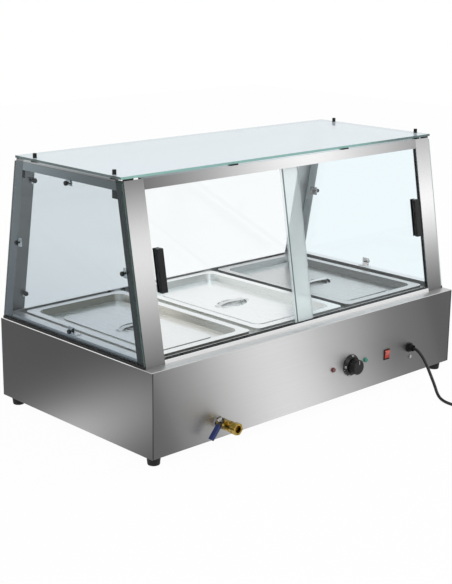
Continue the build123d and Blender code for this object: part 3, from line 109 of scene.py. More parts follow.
class Nodes:
    """Short calls to add nodes to a tree and join them."""

    def __init__(self, tree):
        self.tree = tree

    def add(self, kind, **settings):
        node = self.tree.nodes.new(kind)
        for key, value in settings.items():
            setattr(node, key, value)
        return node

    def put(self, socket, value):
        if is_socket(value):
            self.tree.links.new(value, socket)
        else:
            socket.default_value = value

    def math(self, operation, a, b=0.0):
        node = self.add("ShaderNodeMath", operation=operation)
        self.put(node.inputs[0], a)
        self.put(node.inputs[1], b)
        return node.outputs[0]

    def ramp(self, value, stops, smooth):
        """stops are pairs of a place from 0 to 1 and a linear grey or colour."""
        node = self.add("ShaderNodeValToRGB")
        node.color_ramp.interpolation = smooth
        points = node.color_ramp.elements
        while len(points) < len(stops):
            points.new(0.5)
        for point, (at, colour) in zip(points, stops):
            point.position = at
            point.color = (*grey(colour), 1.0) if isinstance(colour, float) else (*colour, 1.0)
        self.put(node.inputs[0], value)
        return node.outputs["Color"]

    def mix(self, amount, a, b, blend="MIX"):
        node = self.add("ShaderNodeMix", data_type="RGBA", blend_type=blend)
        self.put(node.inputs["Factor"], amount)
        self.put(node.inputs[MIX_COLOUR_A], a if is_socket(a) else (*a, 1.0))
        self.put(node.inputs[MIX_COLOUR_B], b if is_socket(b) else (*b, 1.0))
        return node.outputs[MIX_COLOUR_OUT]

    def axes(self, vector):
        node = self.add("ShaderNodeSeparateXYZ")
        self.put(node.inputs[0], vector)
        return node.outputs

    def place(self):
        return self.add("ShaderNodeTexCoord").outputs["Object"]

    def normal(self):
        return self.add("ShaderNodeTexCoord").outputs["Normal"]

    def noise(self, scale, detail, seed=0.0):
        spread = self.add("ShaderNodeMapping")
        self.put(spread.inputs["Vector"], self.place())
        spread.inputs["Scale"].default_value = scale
        spread.inputs["Location"].default_value = (seed, seed, seed)
        node = self.add("ShaderNodeTexNoise")
        node.inputs["Scale"].default_value = 1.0
        node.inputs["Detail"].default_value = detail
        node.inputs["Roughness"].default_value = NOISE_ROUGH
        self.put(node.inputs["Vector"], spread.outputs[0])
        return node.outputs["Fac"]

    def span(self, value, low, high, to_low=0.0, to_high=1.0):
        node = self.add("ShaderNodeMapRange")
        self.put(node.inputs["Value"], value)
        node.inputs["From Min"].default_value = low
        node.inputs["From Max"].default_value = high
        node.inputs["To Min"].default_value = to_low
        node.inputs["To Max"].default_value = to_high
        return node.outputs[0]

    def spread(self, noise, to_low, to_high):
        """Noise stretched from its usual range to another."""
        return self.span(noise, NOISE_LOW, NOISE_HIGH, to_low, to_high)

    def height(self, to_low=0.0, to_high=1.0):
        """Runs from to_low at the deck to to_high at the top of the glass box."""
        return self.span(self.axes(self.place())[Z], DECK_Z, DECK_Z + BOX_H, to_low, to_high)

    def seen(self):
        """1 for a ray from the camera, from a mirror-like surface or through glass."""
        path = self.add("ShaderNodeLightPath").outputs
        other = self.math("MAXIMUM", path["Is Glossy Ray"], path["Is Transmission Ray"])
        return self.math("MAXIMUM", path["Is Camera Ray"], other)

    def bump(self, height, strength, distance):
        node = self.add("ShaderNodeBump")
        node.inputs["Strength"].default_value = strength
        node.inputs["Distance"].default_value = distance
        self.put(node.inputs["Height"], height)
        return node.outputs[0]

    def principled(self, **values):
        node = self.add("ShaderNodeBsdfPrincipled")
        for key, value in values.items():
            self.put(node.inputs[key.replace("_", " ")], value)
        return node.outputs[0]

    def blend_shaders(self, amount, a, b):
        node = self.add("ShaderNodeMixShader")
        self.put(node.inputs[0], amount)
        self.put(node.inputs[1], a)
        self.put(node.inputs[2], b)
        return node.outputs[0]


class Shader(Nodes):
    """A new material and its node tree."""

    def __init__(self, name):
        self.mat = bpy.data.materials.new(name)
        self.mat.use_nodes = True
        super().__init__(self.mat.node_tree)
        self.tree.nodes.clear()
        self.out = self.add("ShaderNodeOutputMaterial")

    def done(self, shader):
        self.put(self.out.inputs["Surface"], shader)
        return self.mat


def grey(value):
    return (value, value, value)


def tone(level):
    """Linear value of an 8-bit display level."""
    v = level / 255
    return v / 12.92 if v <= 0.04045 else ((v + 0.055) / 1.055) ** 2.4


def tones(stops):
    return [(at, tone(level)) for at, level in stops]


def paint(node, material):
    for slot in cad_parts[node].material_slots:
        slot.material = material


# Brushed steel: painted light and shade in a soft run over each face, with fine grain along it
GRAIN_X = (6.0, 700.0, 700.0)
GRAIN_Y = (700.0, 6.0, 700.0)
GRAIN_Z = (700.0, 700.0, 6.0)
GRAIN_DETAIL = 6.0
GRAIN_DEPTH = 0.035
GRAIN_ROUGH = 0.05
GRAIN_BUMP = (0.08, 0.0002)
CLOUD_SCALE = (3.0, 3.0, 3.0)
CLOUD_ROUGH = 0.03
STEEL_ROUGH = 0.42
FRONT_ROUGH = 0.45
DECK_ROUGH = 0.4
LOW_RAIL_ROUGH = 0.35


def steel(name, tint, grain, rough=STEEL_ROUGH, grain_depth=GRAIN_DEPTH):
    """tint(shader) returns the face's colour before the grain is added: painted light and shade, or one even
    tone.
    """
    s = Shader(name)
    lines = s.noise(grain, GRAIN_DETAIL)
    clouds = s.noise(CLOUD_SCALE, detail=2.0, seed=4.0)
    shade = s.spread(lines, 1.0 - grain_depth, 1.0 + grain_depth)
    line_rough = s.spread(lines, rough - GRAIN_ROUGH, rough + GRAIN_ROUGH)
    body = s.principled(
        Base_Color=s.mix(1.0, tint(s), shade, "MULTIPLY"),
        Metallic=1.0,
        Roughness=s.math("ADD", line_rough, s.spread(clouds, -CLOUD_ROUGH, CLOUD_ROUGH)),
        Normal=s.bump(lines, *GRAIN_BUMP),
    )
    return s.done(body)


def flat_tint(level):
    def build(s):
        return grey(tone(level))
    return build


def run_tint(levels, low, high, axis, slope=0.0):
    """Painted light and shade that runs along one axis through a few display levels, shifted down the face
    by slope.
    """
    def build(s):
        parts = s.axes(s.place())
        value = parts[axis]
        if slope:
            value = s.math("ADD", value, s.math("MULTIPLY", parts[Z], slope))
        return s.ramp(s.span(value, low, high), tones(levels), "CARDINAL")
    return build


# Front panel: a painted pool of light, broad and left of the middle, leaning right towards the bottom
FRONT_LEVELS = (
    (0.0, 102),
    (0.09, 132),
    (0.22, 188),
    (0.375, 222),
    (0.53, 200),
    (0.71, 146),
    (0.89, 104),
    (1.0, 94),
)
FRONT_RUN = 1.23
FRONT_SLOPE = 0.447
FRONT_LEAD = 0.1
FRONT_LEVEL_Z = FOOT_H + 0.205
FRONT_START = LEFT_X - FRONT_LEAD + FRONT_SLOPE * FRONT_LEVEL_Z

# Side panels: a painted pool of light whose centre moves back as it comes down the face
POOL_BASE = 80.0
POOL_GAIN = 95.0
POOL_GAIN_SLOPE = -300.0
POOL_Y = 0.275
POOL_Y_SLOPE = -1.55
POOL_SPREAD = 0.145
DISPLAY_MAX = 255.0
DISPLAY_POWER = 2.2


def side_tint(s):
    parts = s.axes(s.place())
    back = s.math("SUBTRACT", parts[Y], FRONT_Y)
    up = s.math("SUBTRACT", parts[Z], FOOT_H)
    centre = s.math("ADD", s.math("MULTIPLY", up, POOL_Y_SLOPE), POOL_Y)
    off = s.math("DIVIDE", s.math("SUBTRACT", back, centre), POOL_SPREAD)
    fall = s.math("EXPONENT", s.math("MULTIPLY", s.math("MULTIPLY", off, off), -0.5))
    gain = s.math("ADD", s.math("MULTIPLY", up, POOL_GAIN_SLOPE), POOL_GAIN)
    level = s.math("ADD", s.math("MULTIPLY", fall, gain), POOL_BASE)
    return s.math("POWER", s.math("DIVIDE", level, DISPLAY_MAX), DISPLAY_POWER)


# Posts: painted light and shade, display levels at five heights from the deck to the top, for the left and
# the right post
POST_HEIGHTS = (0.0, 0.3, 0.56, 0.78, 1.0)
FRONT_POST_LEFT = (122, 190, 228, 206, 138)
FRONT_POST_RIGHT = (112, 190, 246, 226, 188)
FRONT_POST_OUTER = (0.055, 0.065, 0.06)
FRONT_POST_INNER = (0.75, 0.85, 0.9)
REAR_POST_LEFT = (118, 128, 138, 138, 130)
REAR_POST_RIGHT = (165, 185, 190, 190, 180)
REAR_POST_OUTER = (0.30, 0.30, 0.30)
REAR_POST_INNER = (0.62, 0.66, 0.68)
POST_W = 0.035
SIDEWAYS = 0.9


def post_tint(left, right, outer, inner):
    """Painted light and shade: outer paints shade on the side faces at the left edge of the box, inner
    paints all other side faces lighter.
    """
    def build(s):
        across = s.axes(s.place())[X]
        height = s.height()
        faces = [s.ramp(height, tones(zip(POST_HEIGHTS, levels)), "CARDINAL") for levels in (left, right)]
        face = s.mix(s.math("GREATER_THAN", across, 0.0), *faces)
        sideways = s.math("ABSOLUTE", s.axes(s.normal())[X])
        returns = s.mix(s.math("LESS_THAN", across, LEFT_X + POST_W), inner, outer)
        return s.mix(s.math("GREATER_THAN", sideways, SIDEWAYS), face, returns)
    return build


# Bottom rails: painted light and shade, a lighter top face over darker sides, darkest on the right rail
RAIL_TOP = 235
RAIL_LEFT_SIDE = 200
RAIL_RIGHT_SIDE = 160
RAIL_SPLIT_X = 0.4
UPWARD = 0.7


def bottom_rail_tint(s):
    past = s.math("GREATER_THAN", s.axes(s.place())[X], RAIL_SPLIT_X)
    sides = s.mix(past, grey(tone(RAIL_LEFT_SIDE)), grey(tone(RAIL_RIGHT_SIDE)))
    facing = s.math("GREATER_THAN", s.axes(s.normal())[Z], UPWARD)
    return s.mix(facing, sides, grey(tone(RAIL_TOP)))


# Painted runs of light and shade over the back panel, the deck and the top rails
BACK_LEVELS = ((0.0, 120), (0.3, 190), (0.6, 200), (1.0, 110))
DECK_LEVELS = ((0.0, 196), (0.09, 200), (0.14, 250), (1.0, 250))
FRONT_RAIL_LEVELS = ((0.0, 118), (0.25, 190), (0.5, 240), (0.7, 215), (1.0, 148))
FRONT_RAIL_LEFT = LEFT_X + 0.05
SIDE_RAIL_LEVELS = ((0.0, 122), (0.5, 150), (1.0, 200))

# Steel with one shade all over: display level, grain and roughness
EVEN_STEELS = (
    ("base_plate", "steel_base", 120, GRAIN_X, 0.45),
    ("door_track", "steel_track", 235, GRAIN_X, STEEL_ROUGH),
    ("water_tank", "steel_tank", 130, GRAIN_X, 0.4),
    ("heater", "steel_heater", 95, GRAIN_X, 0.4),
    ("thermostat_body", "steel_thermostat", 150, GRAIN_X, 0.4),
    ("thermostat_shaft", "steel_shaft", 170, GRAIN_X, 0.3),
)


def add_steels():
    front = run_tint(FRONT_LEVELS, FRONT_START, FRONT_START + FRONT_RUN, X, FRONT_SLOPE)
    back = run_tint(BACK_LEVELS, LEFT_X, -LEFT_X, X)
    deck = run_tint(DECK_LEVELS, FRONT_Y, FRONT_Y + BODY_D, Y)
    front_posts = post_tint(FRONT_POST_LEFT, FRONT_POST_RIGHT, FRONT_POST_OUTER, FRONT_POST_INNER)
    rear_posts = post_tint(REAR_POST_LEFT, REAR_POST_RIGHT, REAR_POST_OUTER, REAR_POST_INNER)
    front_rail = run_tint(FRONT_RAIL_LEVELS, FRONT_RAIL_LEFT, -LEFT_X, X)
    side_rails = run_tint(SIDE_RAIL_LEVELS, -BODY_D / 2, BODY_D / 2, Y)
    paint("front_panel", steel("steel_front", front, GRAIN_X, FRONT_ROUGH))
    paint("left_panel", steel("steel_left", side_tint, GRAIN_Y))
    paint("right_panel", steel("steel_right", side_tint, GRAIN_Y))
    paint("back_panel", steel("steel_back", back, GRAIN_X))
    paint("top_deck", steel("steel_deck", deck, GRAIN_X, DECK_ROUGH))
    paint("posts_front", steel("steel_post", front_posts, GRAIN_Z))
    paint("posts_rear", steel("steel_post_rear", rear_posts, GRAIN_Z))
    paint("top_rail_front", steel("steel_rail_front", front_rail, GRAIN_X))
    paint("top_rails", steel("steel_rails", side_rails, GRAIN_Y))
    paint("bottom_rails", steel("steel_low_rails", bottom_rail_tint, GRAIN_Y, LOW_RAIL_ROUGH))
    for node, name, level, grain, rough in EVEN_STEELS:
        paint(node, steel(name, flat_tint(level), grain, rough))


# Pans and lids: bright sheet with painted shade where it turns down, each lid with its own painted light and
# shade. Display level of the flats, colours of the walls
LID_NUMBERS = ("1", "2", "3")
LID_PAINTED_LOOKS = (
    (240, (0.20, 0.195, 0.165), (0.62, 0.59, 0.53)),
    (246, (0.46, 0.47, 0.46), (0.72, 0.74, 0.72)),
    (204, (0.36, 0.37, 0.37), (0.16, 0.17, 0.17)),
)
LID_FLAT_FROM = 0.45
LID_FLAT_TO = 0.9
LID_TURNED_FROM = 0.2
LID_TURNED_TO = 0.7
LID_ROUGH = 0.3
LID_GRAIN_DEPTH = 0.02
STRAP_LEVEL = 215
STRAP_ROUGH = 0.16


def lid_tint(flat, wall_back, wall_right):
    def build(s):
        parts = s.axes(s.normal())
        facing = s.span(s.math("ABSOLUTE", parts[Z]), LID_FLAT_FROM, LID_FLAT_TO)
        turned = s.span(s.math("ABSOLUTE", parts[X]), LID_TURNED_FROM, LID_TURNED_TO)
        return s.mix(facing, s.mix(turned, wall_back, wall_right), grey(tone(flat)))
    return build


def add_pans():
    for number, look in zip(LID_NUMBERS, LID_PAINTED_LOOKS):
        pressed = steel("steel_lid_" + number, lid_tint(*look), GRAIN_Y, LID_ROUGH, LID_GRAIN_DEPTH)
        strap = steel("steel_strap_" + number, flat_tint(STRAP_LEVEL), GRAIN_X, STRAP_ROUGH, LID_GRAIN_DEPTH)
        paint("lid_" + number, pressed)
        paint("pan_" + number, pressed)
        paint("lid_handle_" + number, strap)


# Raised ring round each handle's middle, level with the lid's floor but over its oval dish, in metres
RING_R = 0.032
RING_HALF_W = 0.0022
RING_H = 0.0012
RING_STEPS = 96
# Each lid's ring gets its own painted level of light and shade
RING_PAINTED_LEVELS = (140, 220, 190)
RING_ROUGH = 0.2
RING_PROFILE = ((-1.0, 0.0), (-0.7, 0.55), (-0.3, 0.92), (0.0, 1.0), (0.3, 0.92), (0.7, 0.55), (1.0, 0.0))


def ring_mesh(x, y, z):
    verts = []
    faces = []
    rows = len(RING_PROFILE)
    for step in range(RING_STEPS):
        angle = 2 * pi * step / RING_STEPS
        for across, up in RING_PROFILE:
            radius = RING_R + across * RING_HALF_W
            verts.append((x + radius * cos(angle), y + radius * sin(angle), z + up * RING_H))
        here = step * rows
        there = (step + 1) % RING_STEPS * rows
        for row in range(rows - 1):
            faces.append((here + row, there + row, there + row + 1, here + row + 1))
    return verts, faces


def add_lid_rings():
    for number, level in zip(LID_NUMBERS, RING_PAINTED_LEVELS):
        low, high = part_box("lid_handle_" + number)
        middle = (Vector(low) + Vector(high)) / 2
        look = steel("steel_ring_" + number, flat_tint(level), GRAIN_X, RING_ROUGH, LID_GRAIN_DEPTH)
        ring = add_mesh("lid_ring_" + number, *ring_mesh(middle.x, middle.y, low[Z]), look)
        ring.data.polygons.foreach_set("use_smooth", [True] * len(ring.data.polygons))
        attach(ring, "lid_" + number + "_body")


# Glass: clear faces with a mirror-like gloss at low angles, and tinted edges with painted light and shade,
# each pane's edges their own brightness. Colours are linear
GLASS_MIRROR = 0.5
GLASS_MIRROR_LEAST = 0.015
GLASS_MIRROR_POWER = 5.0
GLASS_ROUGH = 0.03
GLARE_ROUGH = 0.08
EDGE_SHARE = 0.88
EDGE_ROUGH = 0.2
EDGE_COAT = 0.3
EDGE_STREAK = (0.25, 0.4, 0.38)
EDGE_STREAK_SHARE = 0.12
EDGE_NOISE = (30.0, 30.0, 30.0)
FACE_ON = 0.9
LEFTWARD = -0.5
PLAIN_GLARE = (0.8, 0.9, 0.95)
WHITE = (1.0, 1.0, 1.0)


def built(value, s):
    return value(s) if callable(value) else value


def glass(name, face_normal, tint, edge, painted_glare=0.0, glare_colour=PLAIN_GLARE, gloss=WHITE):
    """tint, edge and the share of a painted glare are values, or functions that build them in the shader."""
    s = Shader(name)
    dot = s.add("ShaderNodeVectorMath", operation="DOT_PRODUCT")
    s.put(dot.inputs[0], s.normal())
    dot.inputs[1].default_value = face_normal
    on_face = s.math("GREATER_THAN", s.math("ABSOLUTE", dot.outputs["Value"]), FACE_ON)
    weight = s.add("ShaderNodeLayerWeight")
    weight.inputs["Blend"].default_value = 0.5
    low_angle = s.math("POWER", weight.outputs["Facing"], GLASS_MIRROR_POWER)
    mirror = s.math("ADD", s.math("MULTIPLY", low_angle, GLASS_MIRROR), GLASS_MIRROR_LEAST)
    through = built(tint, s)
    clear = s.add("ShaderNodeBsdfTransparent")
    s.put(clear.inputs["Color"], through if is_socket(through) else (*through, 1.0))
    shine = s.add("ShaderNodeBsdfGlossy")
    shine.inputs["Color"].default_value = (*gloss, 1.0)
    shine.inputs["Roughness"].default_value = GLASS_ROUGH
    face = s.blend_shaders(mirror, clear.outputs[0], shine.outputs[0])
    path = s.add("ShaderNodeLightPath").outputs
    passing = s.math("MAXIMUM", path["Is Shadow Ray"], path["Is Glossy Ray"])
    stopped = s.math("SUBTRACT", 1.0, passing)
    # A painted glare: a pale sheet that rays from the camera see, while shadow and glossy rays pass through
    # it
    if painted_glare:
        glare = s.principled(Base_Color=(*glare_colour, 1.0), Roughness=GLARE_ROUGH)
        face = s.blend_shaders(s.math("MULTIPLY", stopped, built(painted_glare, s)), face, glare)
    streaks = s.spread(s.noise(EDGE_NOISE, detail=3.0), 0.0, EDGE_STREAK_SHARE)
    edge_colour = s.mix(streaks, built(edge, s), EDGE_STREAK)
    rim = s.principled(Base_Color=edge_colour, Roughness=EDGE_ROUGH, Coat_Weight=EDGE_COAT)
    rim = s.blend_shaders(s.math("MULTIPLY", stopped, EDGE_SHARE), clear.outputs[0], rim)
    return s.done(s.blend_shaders(on_face, rim, face))


# Left pane: darker low down, with painted shade on its edges
LEFT_TINT_LOW = (0.73, 0.77, 0.80)
LEFT_TINT_HIGH = (0.80, 0.84, 0.86)
LEFT_TINT_REACH = 0.6
LEFT_EDGE = (0.02, 0.06, 0.052)


def left_tint(s):
    stops = [(0.0, LEFT_TINT_LOW), (LEFT_TINT_REACH, LEFT_TINT_HIGH), (1.0, LEFT_TINT_HIGH)]
    return s.ramp(s.height(), stops, "LINEAR")


# Top pane: a painted pale glare, with a green front edge whose painted shade turns it dark towards the
# right, and painted shade on the left edge
TOP_TINT = (0.9, 0.95, 0.97)
TOP_GLARE_SHARE = 0.85
TOP_GLARE_COLOUR = (0.72, 0.82, 0.88)
TOP_GLOSS = (0.80, 0.87, 0.91)
TOP_LEFT_EDGE = (0.012, 0.03, 0.027)
TOP_FRONT_EDGE = (
    (0.0, (0.22, 0.46, 0.40)),
    (0.72, (0.19, 0.42, 0.37)),
    (0.85, (0.03, 0.09, 0.085)),
    (1.0, (0.02, 0.07, 0.07)),
)


def top_edge(s):
    along = s.span(s.axes(s.place())[X], LEFT_X, -LEFT_X)
    left = s.math("LESS_THAN", s.axes(s.normal())[X], LEFTWARD)
    return s.mix(left, s.ramp(along, TOP_FRONT_EDGE, "LINEAR"), TOP_LEFT_EDGE)


# Doors: painted shade on left-facing edges, a painted highlight on the others, and a painted glare band
# where the left door laps the right one, from BAND_X in mm
DOOR_TINT = (0.985, 0.995, 0.998)
DOOR_SHADED_EDGE = (0.16, 0.22, 0.21)
DOOR_HIGHLIT_EDGE = (0.95, 1.0, 1.0)
BAND_X = 526.0
BAND_GLARE_LOW = 0.62
BAND_GLARE_HIGH = 0.3
BAND_COLOUR = (0.86, 0.92, 0.92)


def door_edge(s):
    left = s.math("LESS_THAN", s.axes(s.normal())[X], LEFTWARD)
    return s.mix(left, DOOR_HIGHLIT_EDGE, DOOR_SHADED_EDGE)


def meeting_band(s):
    past = s.math("GREATER_THAN", s.axes(s.place())[X], place(BAND_X, 0, 0).x)
    return s.math("MULTIPLY", past, s.height(BAND_GLARE_LOW, BAND_GLARE_HIGH))


# Rear and right panes: edges painted lighter than the left pane's
REAR_TINT = (0.99, 0.995, 0.995)
REAR_EDGE = (0.5, 0.6, 0.6)
RIGHT_TINT = (0.945, 0.985, 1.0)
RIGHT_EDGE = (0.4, 0.46, 0.46)


def add_glass():
    lean = (0.0, -cos(LEAN), sin(LEAN))
    rear_lean = (0.0, cos(LEAN), sin(LEAN))
    side = (1.0, 0.0, 0.0)
    up = (0.0, 0.0, 1.0)
    paint("door_left", glass("glass_door_left", lean, DOOR_TINT, door_edge, meeting_band, BAND_COLOUR))
    paint("door_right", glass("glass_door", lean, DOOR_TINT, door_edge))
    paint("glass_rear", glass("glass_rear", rear_lean, REAR_TINT, REAR_EDGE))
    paint("glass_left", glass("glass_left", side, left_tint, LEFT_EDGE))
    paint("glass_right", glass("glass_right", side, RIGHT_TINT, RIGHT_EDGE))
    paint("glass_top", glass("glass_top", up, TOP_TINT, top_edge, TOP_GLARE_SHARE, TOP_GLARE_COLOUR, TOP_GLOSS))


# Plastic and rubber: faint speckle and rubbed places
SPECKLE_NOISE = (350.0, 350.0, 350.0)
SPECKLE_ROUGH = 0.06
SPECKLE_BUMP = (0.15, 0.0002)
RUB_NOISE = (25.0, 25.0, 25.0)
RUB_FROM = 0.45
RUB_TO = 0.75
RUB_SHARE = 0.6
RUB_GAIN = 1.5
RUB_LIFT = 0.004
PLASTIC_SHINE = 0.3


def moulded(name, colour, rough, coat=0.0):
    s = Shader(name)
    speckle = s.noise(SPECKLE_NOISE, detail=3.0)
    rubbed = s.span(s.noise(RUB_NOISE, detail=2.0, seed=2.0), RUB_FROM, RUB_TO, 0.0, RUB_SHARE)
    lighter = tuple(min(1.0, c * RUB_GAIN + RUB_LIFT) for c in colour)
    body = s.principled(
        Base_Color=s.mix(rubbed, colour, lighter),
        Roughness=s.spread(speckle, rough - SPECKLE_ROUGH, rough + SPECKLE_ROUGH),
        Coat_Weight=coat,
        Specular_IOR_Level=PLASTIC_SHINE,
        Normal=s.bump(speckle, *SPECKLE_BUMP),
    )
    return s.done(body)


# Bare metal: stained darker and duller in places
STAIN_NOISE = (120.0, 120.0, 120.0)
STAIN_FROM = 0.35
STAIN_TO = 0.65
STAIN_DULLER = 0.08
STAIN_BRIGHTER = 0.04
STAIN_BUMP = (0.1, 0.0003)


def metal(name, colour, rough, dark):
    s = Shader(name)
    stains = s.noise(STAIN_NOISE, detail=5.0)
    low = tuple(c * dark for c in colour)
    body = s.principled(
        Base_Color=s.mix(s.span(stains, STAIN_FROM, STAIN_TO), low, colour),
        Metallic=1.0,
        Roughness=s.spread(stains, rough + STAIN_DULLER, rough - STAIN_BRIGHTER),
        Normal=s.bump(stains, *STAIN_BUMP),
    )
    return s.done(body)


# Lamp lenses: glossy, with a faint ripple
RIPPLE_NOISE = (500.0, 500.0, 500.0)
RIPPLE_BUMP = (0.05, 0.0003)
LENS_ROUGH = (0.12, 0.22)
LENS_COAT = 0.8


def lens(name, colour):
    s = Shader(name)
    ripple = s.noise(RIPPLE_NOISE, detail=1.0)
    body = s.principled(
        Base_Color=(*colour, 1.0),
        Roughness=s.spread(ripple, *LENS_ROUGH),
        Coat_Weight=LENS_COAT,
        Normal=s.bump(ripple, *RIPPLE_BUMP),
    )
    return s.done(body)


# Small parts: name, colour, roughness, coat, and the nodes that take it
PLASTICS = (
    ("plastic_black", (0.004, 0.004, 0.004), 0.35, 0.0,
     ("thermostat_knob", "rocker_housing", "cable_gland", "plug", "handle_left", "handle_right",
      "track_inserts", "terminal_block", "clip_screws")),
    ("rubber_black", (0.008, 0.008, 0.008), 0.6, 0.0, ("feet", "rubber_pads", "seal_left", "seal_right")),
    ("wire_cover", (0.05, 0.03, 0.02), 0.45, 0.0, ("wiring",)),
    ("vinyl_blue", (0.010, 0.022, 0.115), 0.35, 0.2, ("lever_sleeve",)),
    ("plastic_red", (0.46, 0.045, 0.03), 0.3, 0.3, ("rocker",)),
)

# The same with the share of colour left where it is stained, in place of the coat
METALS = (
    ("brass", (0.50, 0.35, 0.08), 0.25, 0.4, ("valve_body",)),
    ("fitting_steel", (0.55, 0.55, 0.54), 0.25, 0.5, ("drain_fitting",)),
    ("chrome", (0.8, 0.8, 0.8), 0.14, 0.5, ("valve_ball", "lever_nut", "glass_clips")),
    ("stud_steel", (0.035, 0.035, 0.035), 0.35, 0.6, ("top_studs",)),
    ("lever_steel", (0.09, 0.085, 0.08), 0.3, 0.6, ("valve_lever",)),
    ("screw_steel", (0.5, 0.5, 0.51), 0.25, 0.7, ("earth_screw",)),
    ("copper", (0.6, 0.3, 0.18), 0.3, 0.6, ("thermostat_bulb",)),
)
LENSES = (("lens_red", (0.12, 0.008, 0.008), "lamp_red"), ("lens_green", (0.01, 0.22, 0.15), "lamp_green"))


def add_small_parts():
    for make, rows in ((moulded, PLASTICS), (metal, METALS)):
        for name, colour, rough, last, nodes in rows:
            look = make(name, colour, rough, last)
            for node in nodes:
                paint(node, look)
    for name, colour, node in LENSES:
        paint(node, lens(name, colour))


# Cord: the route's points in millimetres, then the coil's turns and the tail to the plug
CORD_R = 4.25
CORD_COLOUR = (0.012, 0.012, 0.012)
CORD_ROUGH = 0.42
CORD_COAT = 0.15
CORD_ROUTE = [
    (944.0, -6.0, 79.0),
    (944.0, -20.0, 79.0),
    (943.5, -35.0, 74.8),
    (941.5, -53.0, 62.0),
    (937.0, -72.0, 43.0),
    (928.0, -93.0, 22.5),
    (915.0, -118.0, 2.0),
    (899.0, -141.0, -15.0),
    (885.0, -168.0, -20.7),
    (878.0, -204.0, -20.7),
    (889.0, -239.0, -20.7),
    (917.0, -261.0, -20.7),
    (958.0, -267.0, -20.7),
    (1000.0, -259.0, -20.7),
    (1036.0, -259.0, -20.7),
]
COIL_X = 1050.0
COIL_Y = -205.0
COIL_OUTER_R = 54.0
COIL_PITCH = 9.0
COIL_LAYER = 8.95
COIL_LOW = -20.7
COIL_HIGH = COIL_LOW + COIL_LAYER
COIL_IN = COIL_PITCH / 2
COIL_OUT = 1.5 * COIL_PITCH
COIL_LOW_KNOTS = 4
COIL_HIGH_KNOTS = 4
COIL_STEPS = 12
TAIL_X = 1124.0
TAIL_Z = -5.95
TAIL_OUT = 22
TAIL_LEVEL = 28


def coil_knots():
    """Radius and height at each half turn: inwards in the lower layer, out and in by turns in the upper."""
    radii = [COIL_OUTER_R - COIL_IN * i for i in range(COIL_LOW_KNOTS + 1)]
    levels = [COIL_LOW] * COIL_LOW_KNOTS + [COIL_HIGH]
    for i in range(COIL_HIGH_KNOTS):
        radii.append(radii[-1] + (COIL_OUT if i % 2 == 0 else -COIL_IN))
        levels.append(COIL_HIGH)
    return list(zip(radii, levels))


def coil_points():
    knots = coil_knots()
    points = []
    for i, ((r0, z0), (r1, z1)) in enumerate(zip(knots, knots[1:])):
        for step in range(COIL_STEPS):
            share = (step + 0.5) / COIL_STEPS
            angle = -pi / 2 + pi * (i + share)
            radius = r0 + (r1 - r0) * share
            height = z0 + (z1 - z0) * share
            points.append((COIL_X + radius * cos(angle), COIL_Y + radius * sin(angle), height))
    return points


def add_cord():
    last_r, last_z = coil_knots()[-1]
    tail_y = COIL_Y - last_r
    tail = [
        (COIL_X + TAIL_OUT, tail_y, last_z),
        (TAIL_X - TAIL_LEVEL, tail_y, TAIL_Z),
        (TAIL_X, tail_y, TAIL_Z),
    ]
    points = CORD_ROUTE + coil_points() + tail
    curve = bpy.data.curves.new("cord", "CURVE")
    curve.dimensions = "3D"
    curve.bevel_depth = CORD_R / MM
    curve.bevel_resolution = 6
    curve.resolution_u = 8
    curve.use_fill_caps = True
    spline = curve.splines.new("NURBS")
    spline.points.add(len(points) - 1)
    for point, spot in zip(spline.points, points):
        point.co = (*place(*spot), 1.0)
    spline.order_u = 3
    spline.use_endpoint_u = True
    cord = bpy.data.objects.new("cord", curve)
    scene.collection.objects.link(cord)
    curve.materials.append(moulded("cord_cover", CORD_COLOUR, CORD_ROUGH, CORD_COAT))
    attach(cord, "casing")
    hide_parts("cord_tube", "cord_coil")


# Dial, in millimetres: the skirt's plain numbers and ticks, and the pointer in front of the cap
DIAL_X = 696.0
DIAL_Z = 80.5
SKIRT_R = 30.0
SKIRT_RIM_R = 24.5
SKIRT_Y = -2.2
SKIRT_RIM_Y = -10.0
POINTER_Y = -31.0
POINTER_FROM = 9.0
POINTER_TO = 18.0
PRINT_T = 0.12
PRINT_COLOUR = (0.85, 0.85, 0.83)
PRINT_ROUGH = 0.5
DIGIT_W = 1.9
DIGIT_H = 3.4
DIGIT_GAP = 0.8
DIGIT_FROM = 3.4
STROKE_W = 0.55
POINTER_W = 2 * STROKE_W
TICK_FROM = 0.6
TICK_TO = 2.4
TICKS_BETWEEN = 4
FIRST_NUMBER = 30
LAST_NUMBER = 110
NUMBER_STEP = 20
DIAL_SWEEP = 270.0

# Digits as bars, on a square from (0, 0) at the lower left to (1, 1) at the upper right
SEGMENTS = {"0": "abcdef", "1": "bc", "3": "abcdg", "5": "acdfg", "7": "abc", "9": "abcdfg"}
STROKES = {
    "a": ((0, 1), (1, 1)),
    "b": ((1, 1), (1, 0.5)),
    "c": ((1, 0.5), (1, 0)),
    "d": ((0, 0), (1, 0)),
    "e": ((0, 0), (0, 0.5)),
    "f": ((0, 0.5), (0, 1)),
    "g": ((0, 0.5), (1, 0.5)),
}


def skirt_spot(angle, across, down, lift):
    """A place on the skirt at an angle from the top: millimetres across it and down from its outer edge."""
    run = Vector((SKIRT_RIM_R - SKIRT_R, SKIRT_RIM_Y - SKIRT_Y))
    step = run.normalized() * down
    out = Vector((-run.y, run.x)).normalized() * lift
    radius = SKIRT_R + step.x + out.x
    return (
        DIAL_X + radius * sin(angle) + across * cos(angle),
        SKIRT_Y + step.y + out.y,
        DIAL_Z + radius * cos(angle) - across * sin(angle),
    )


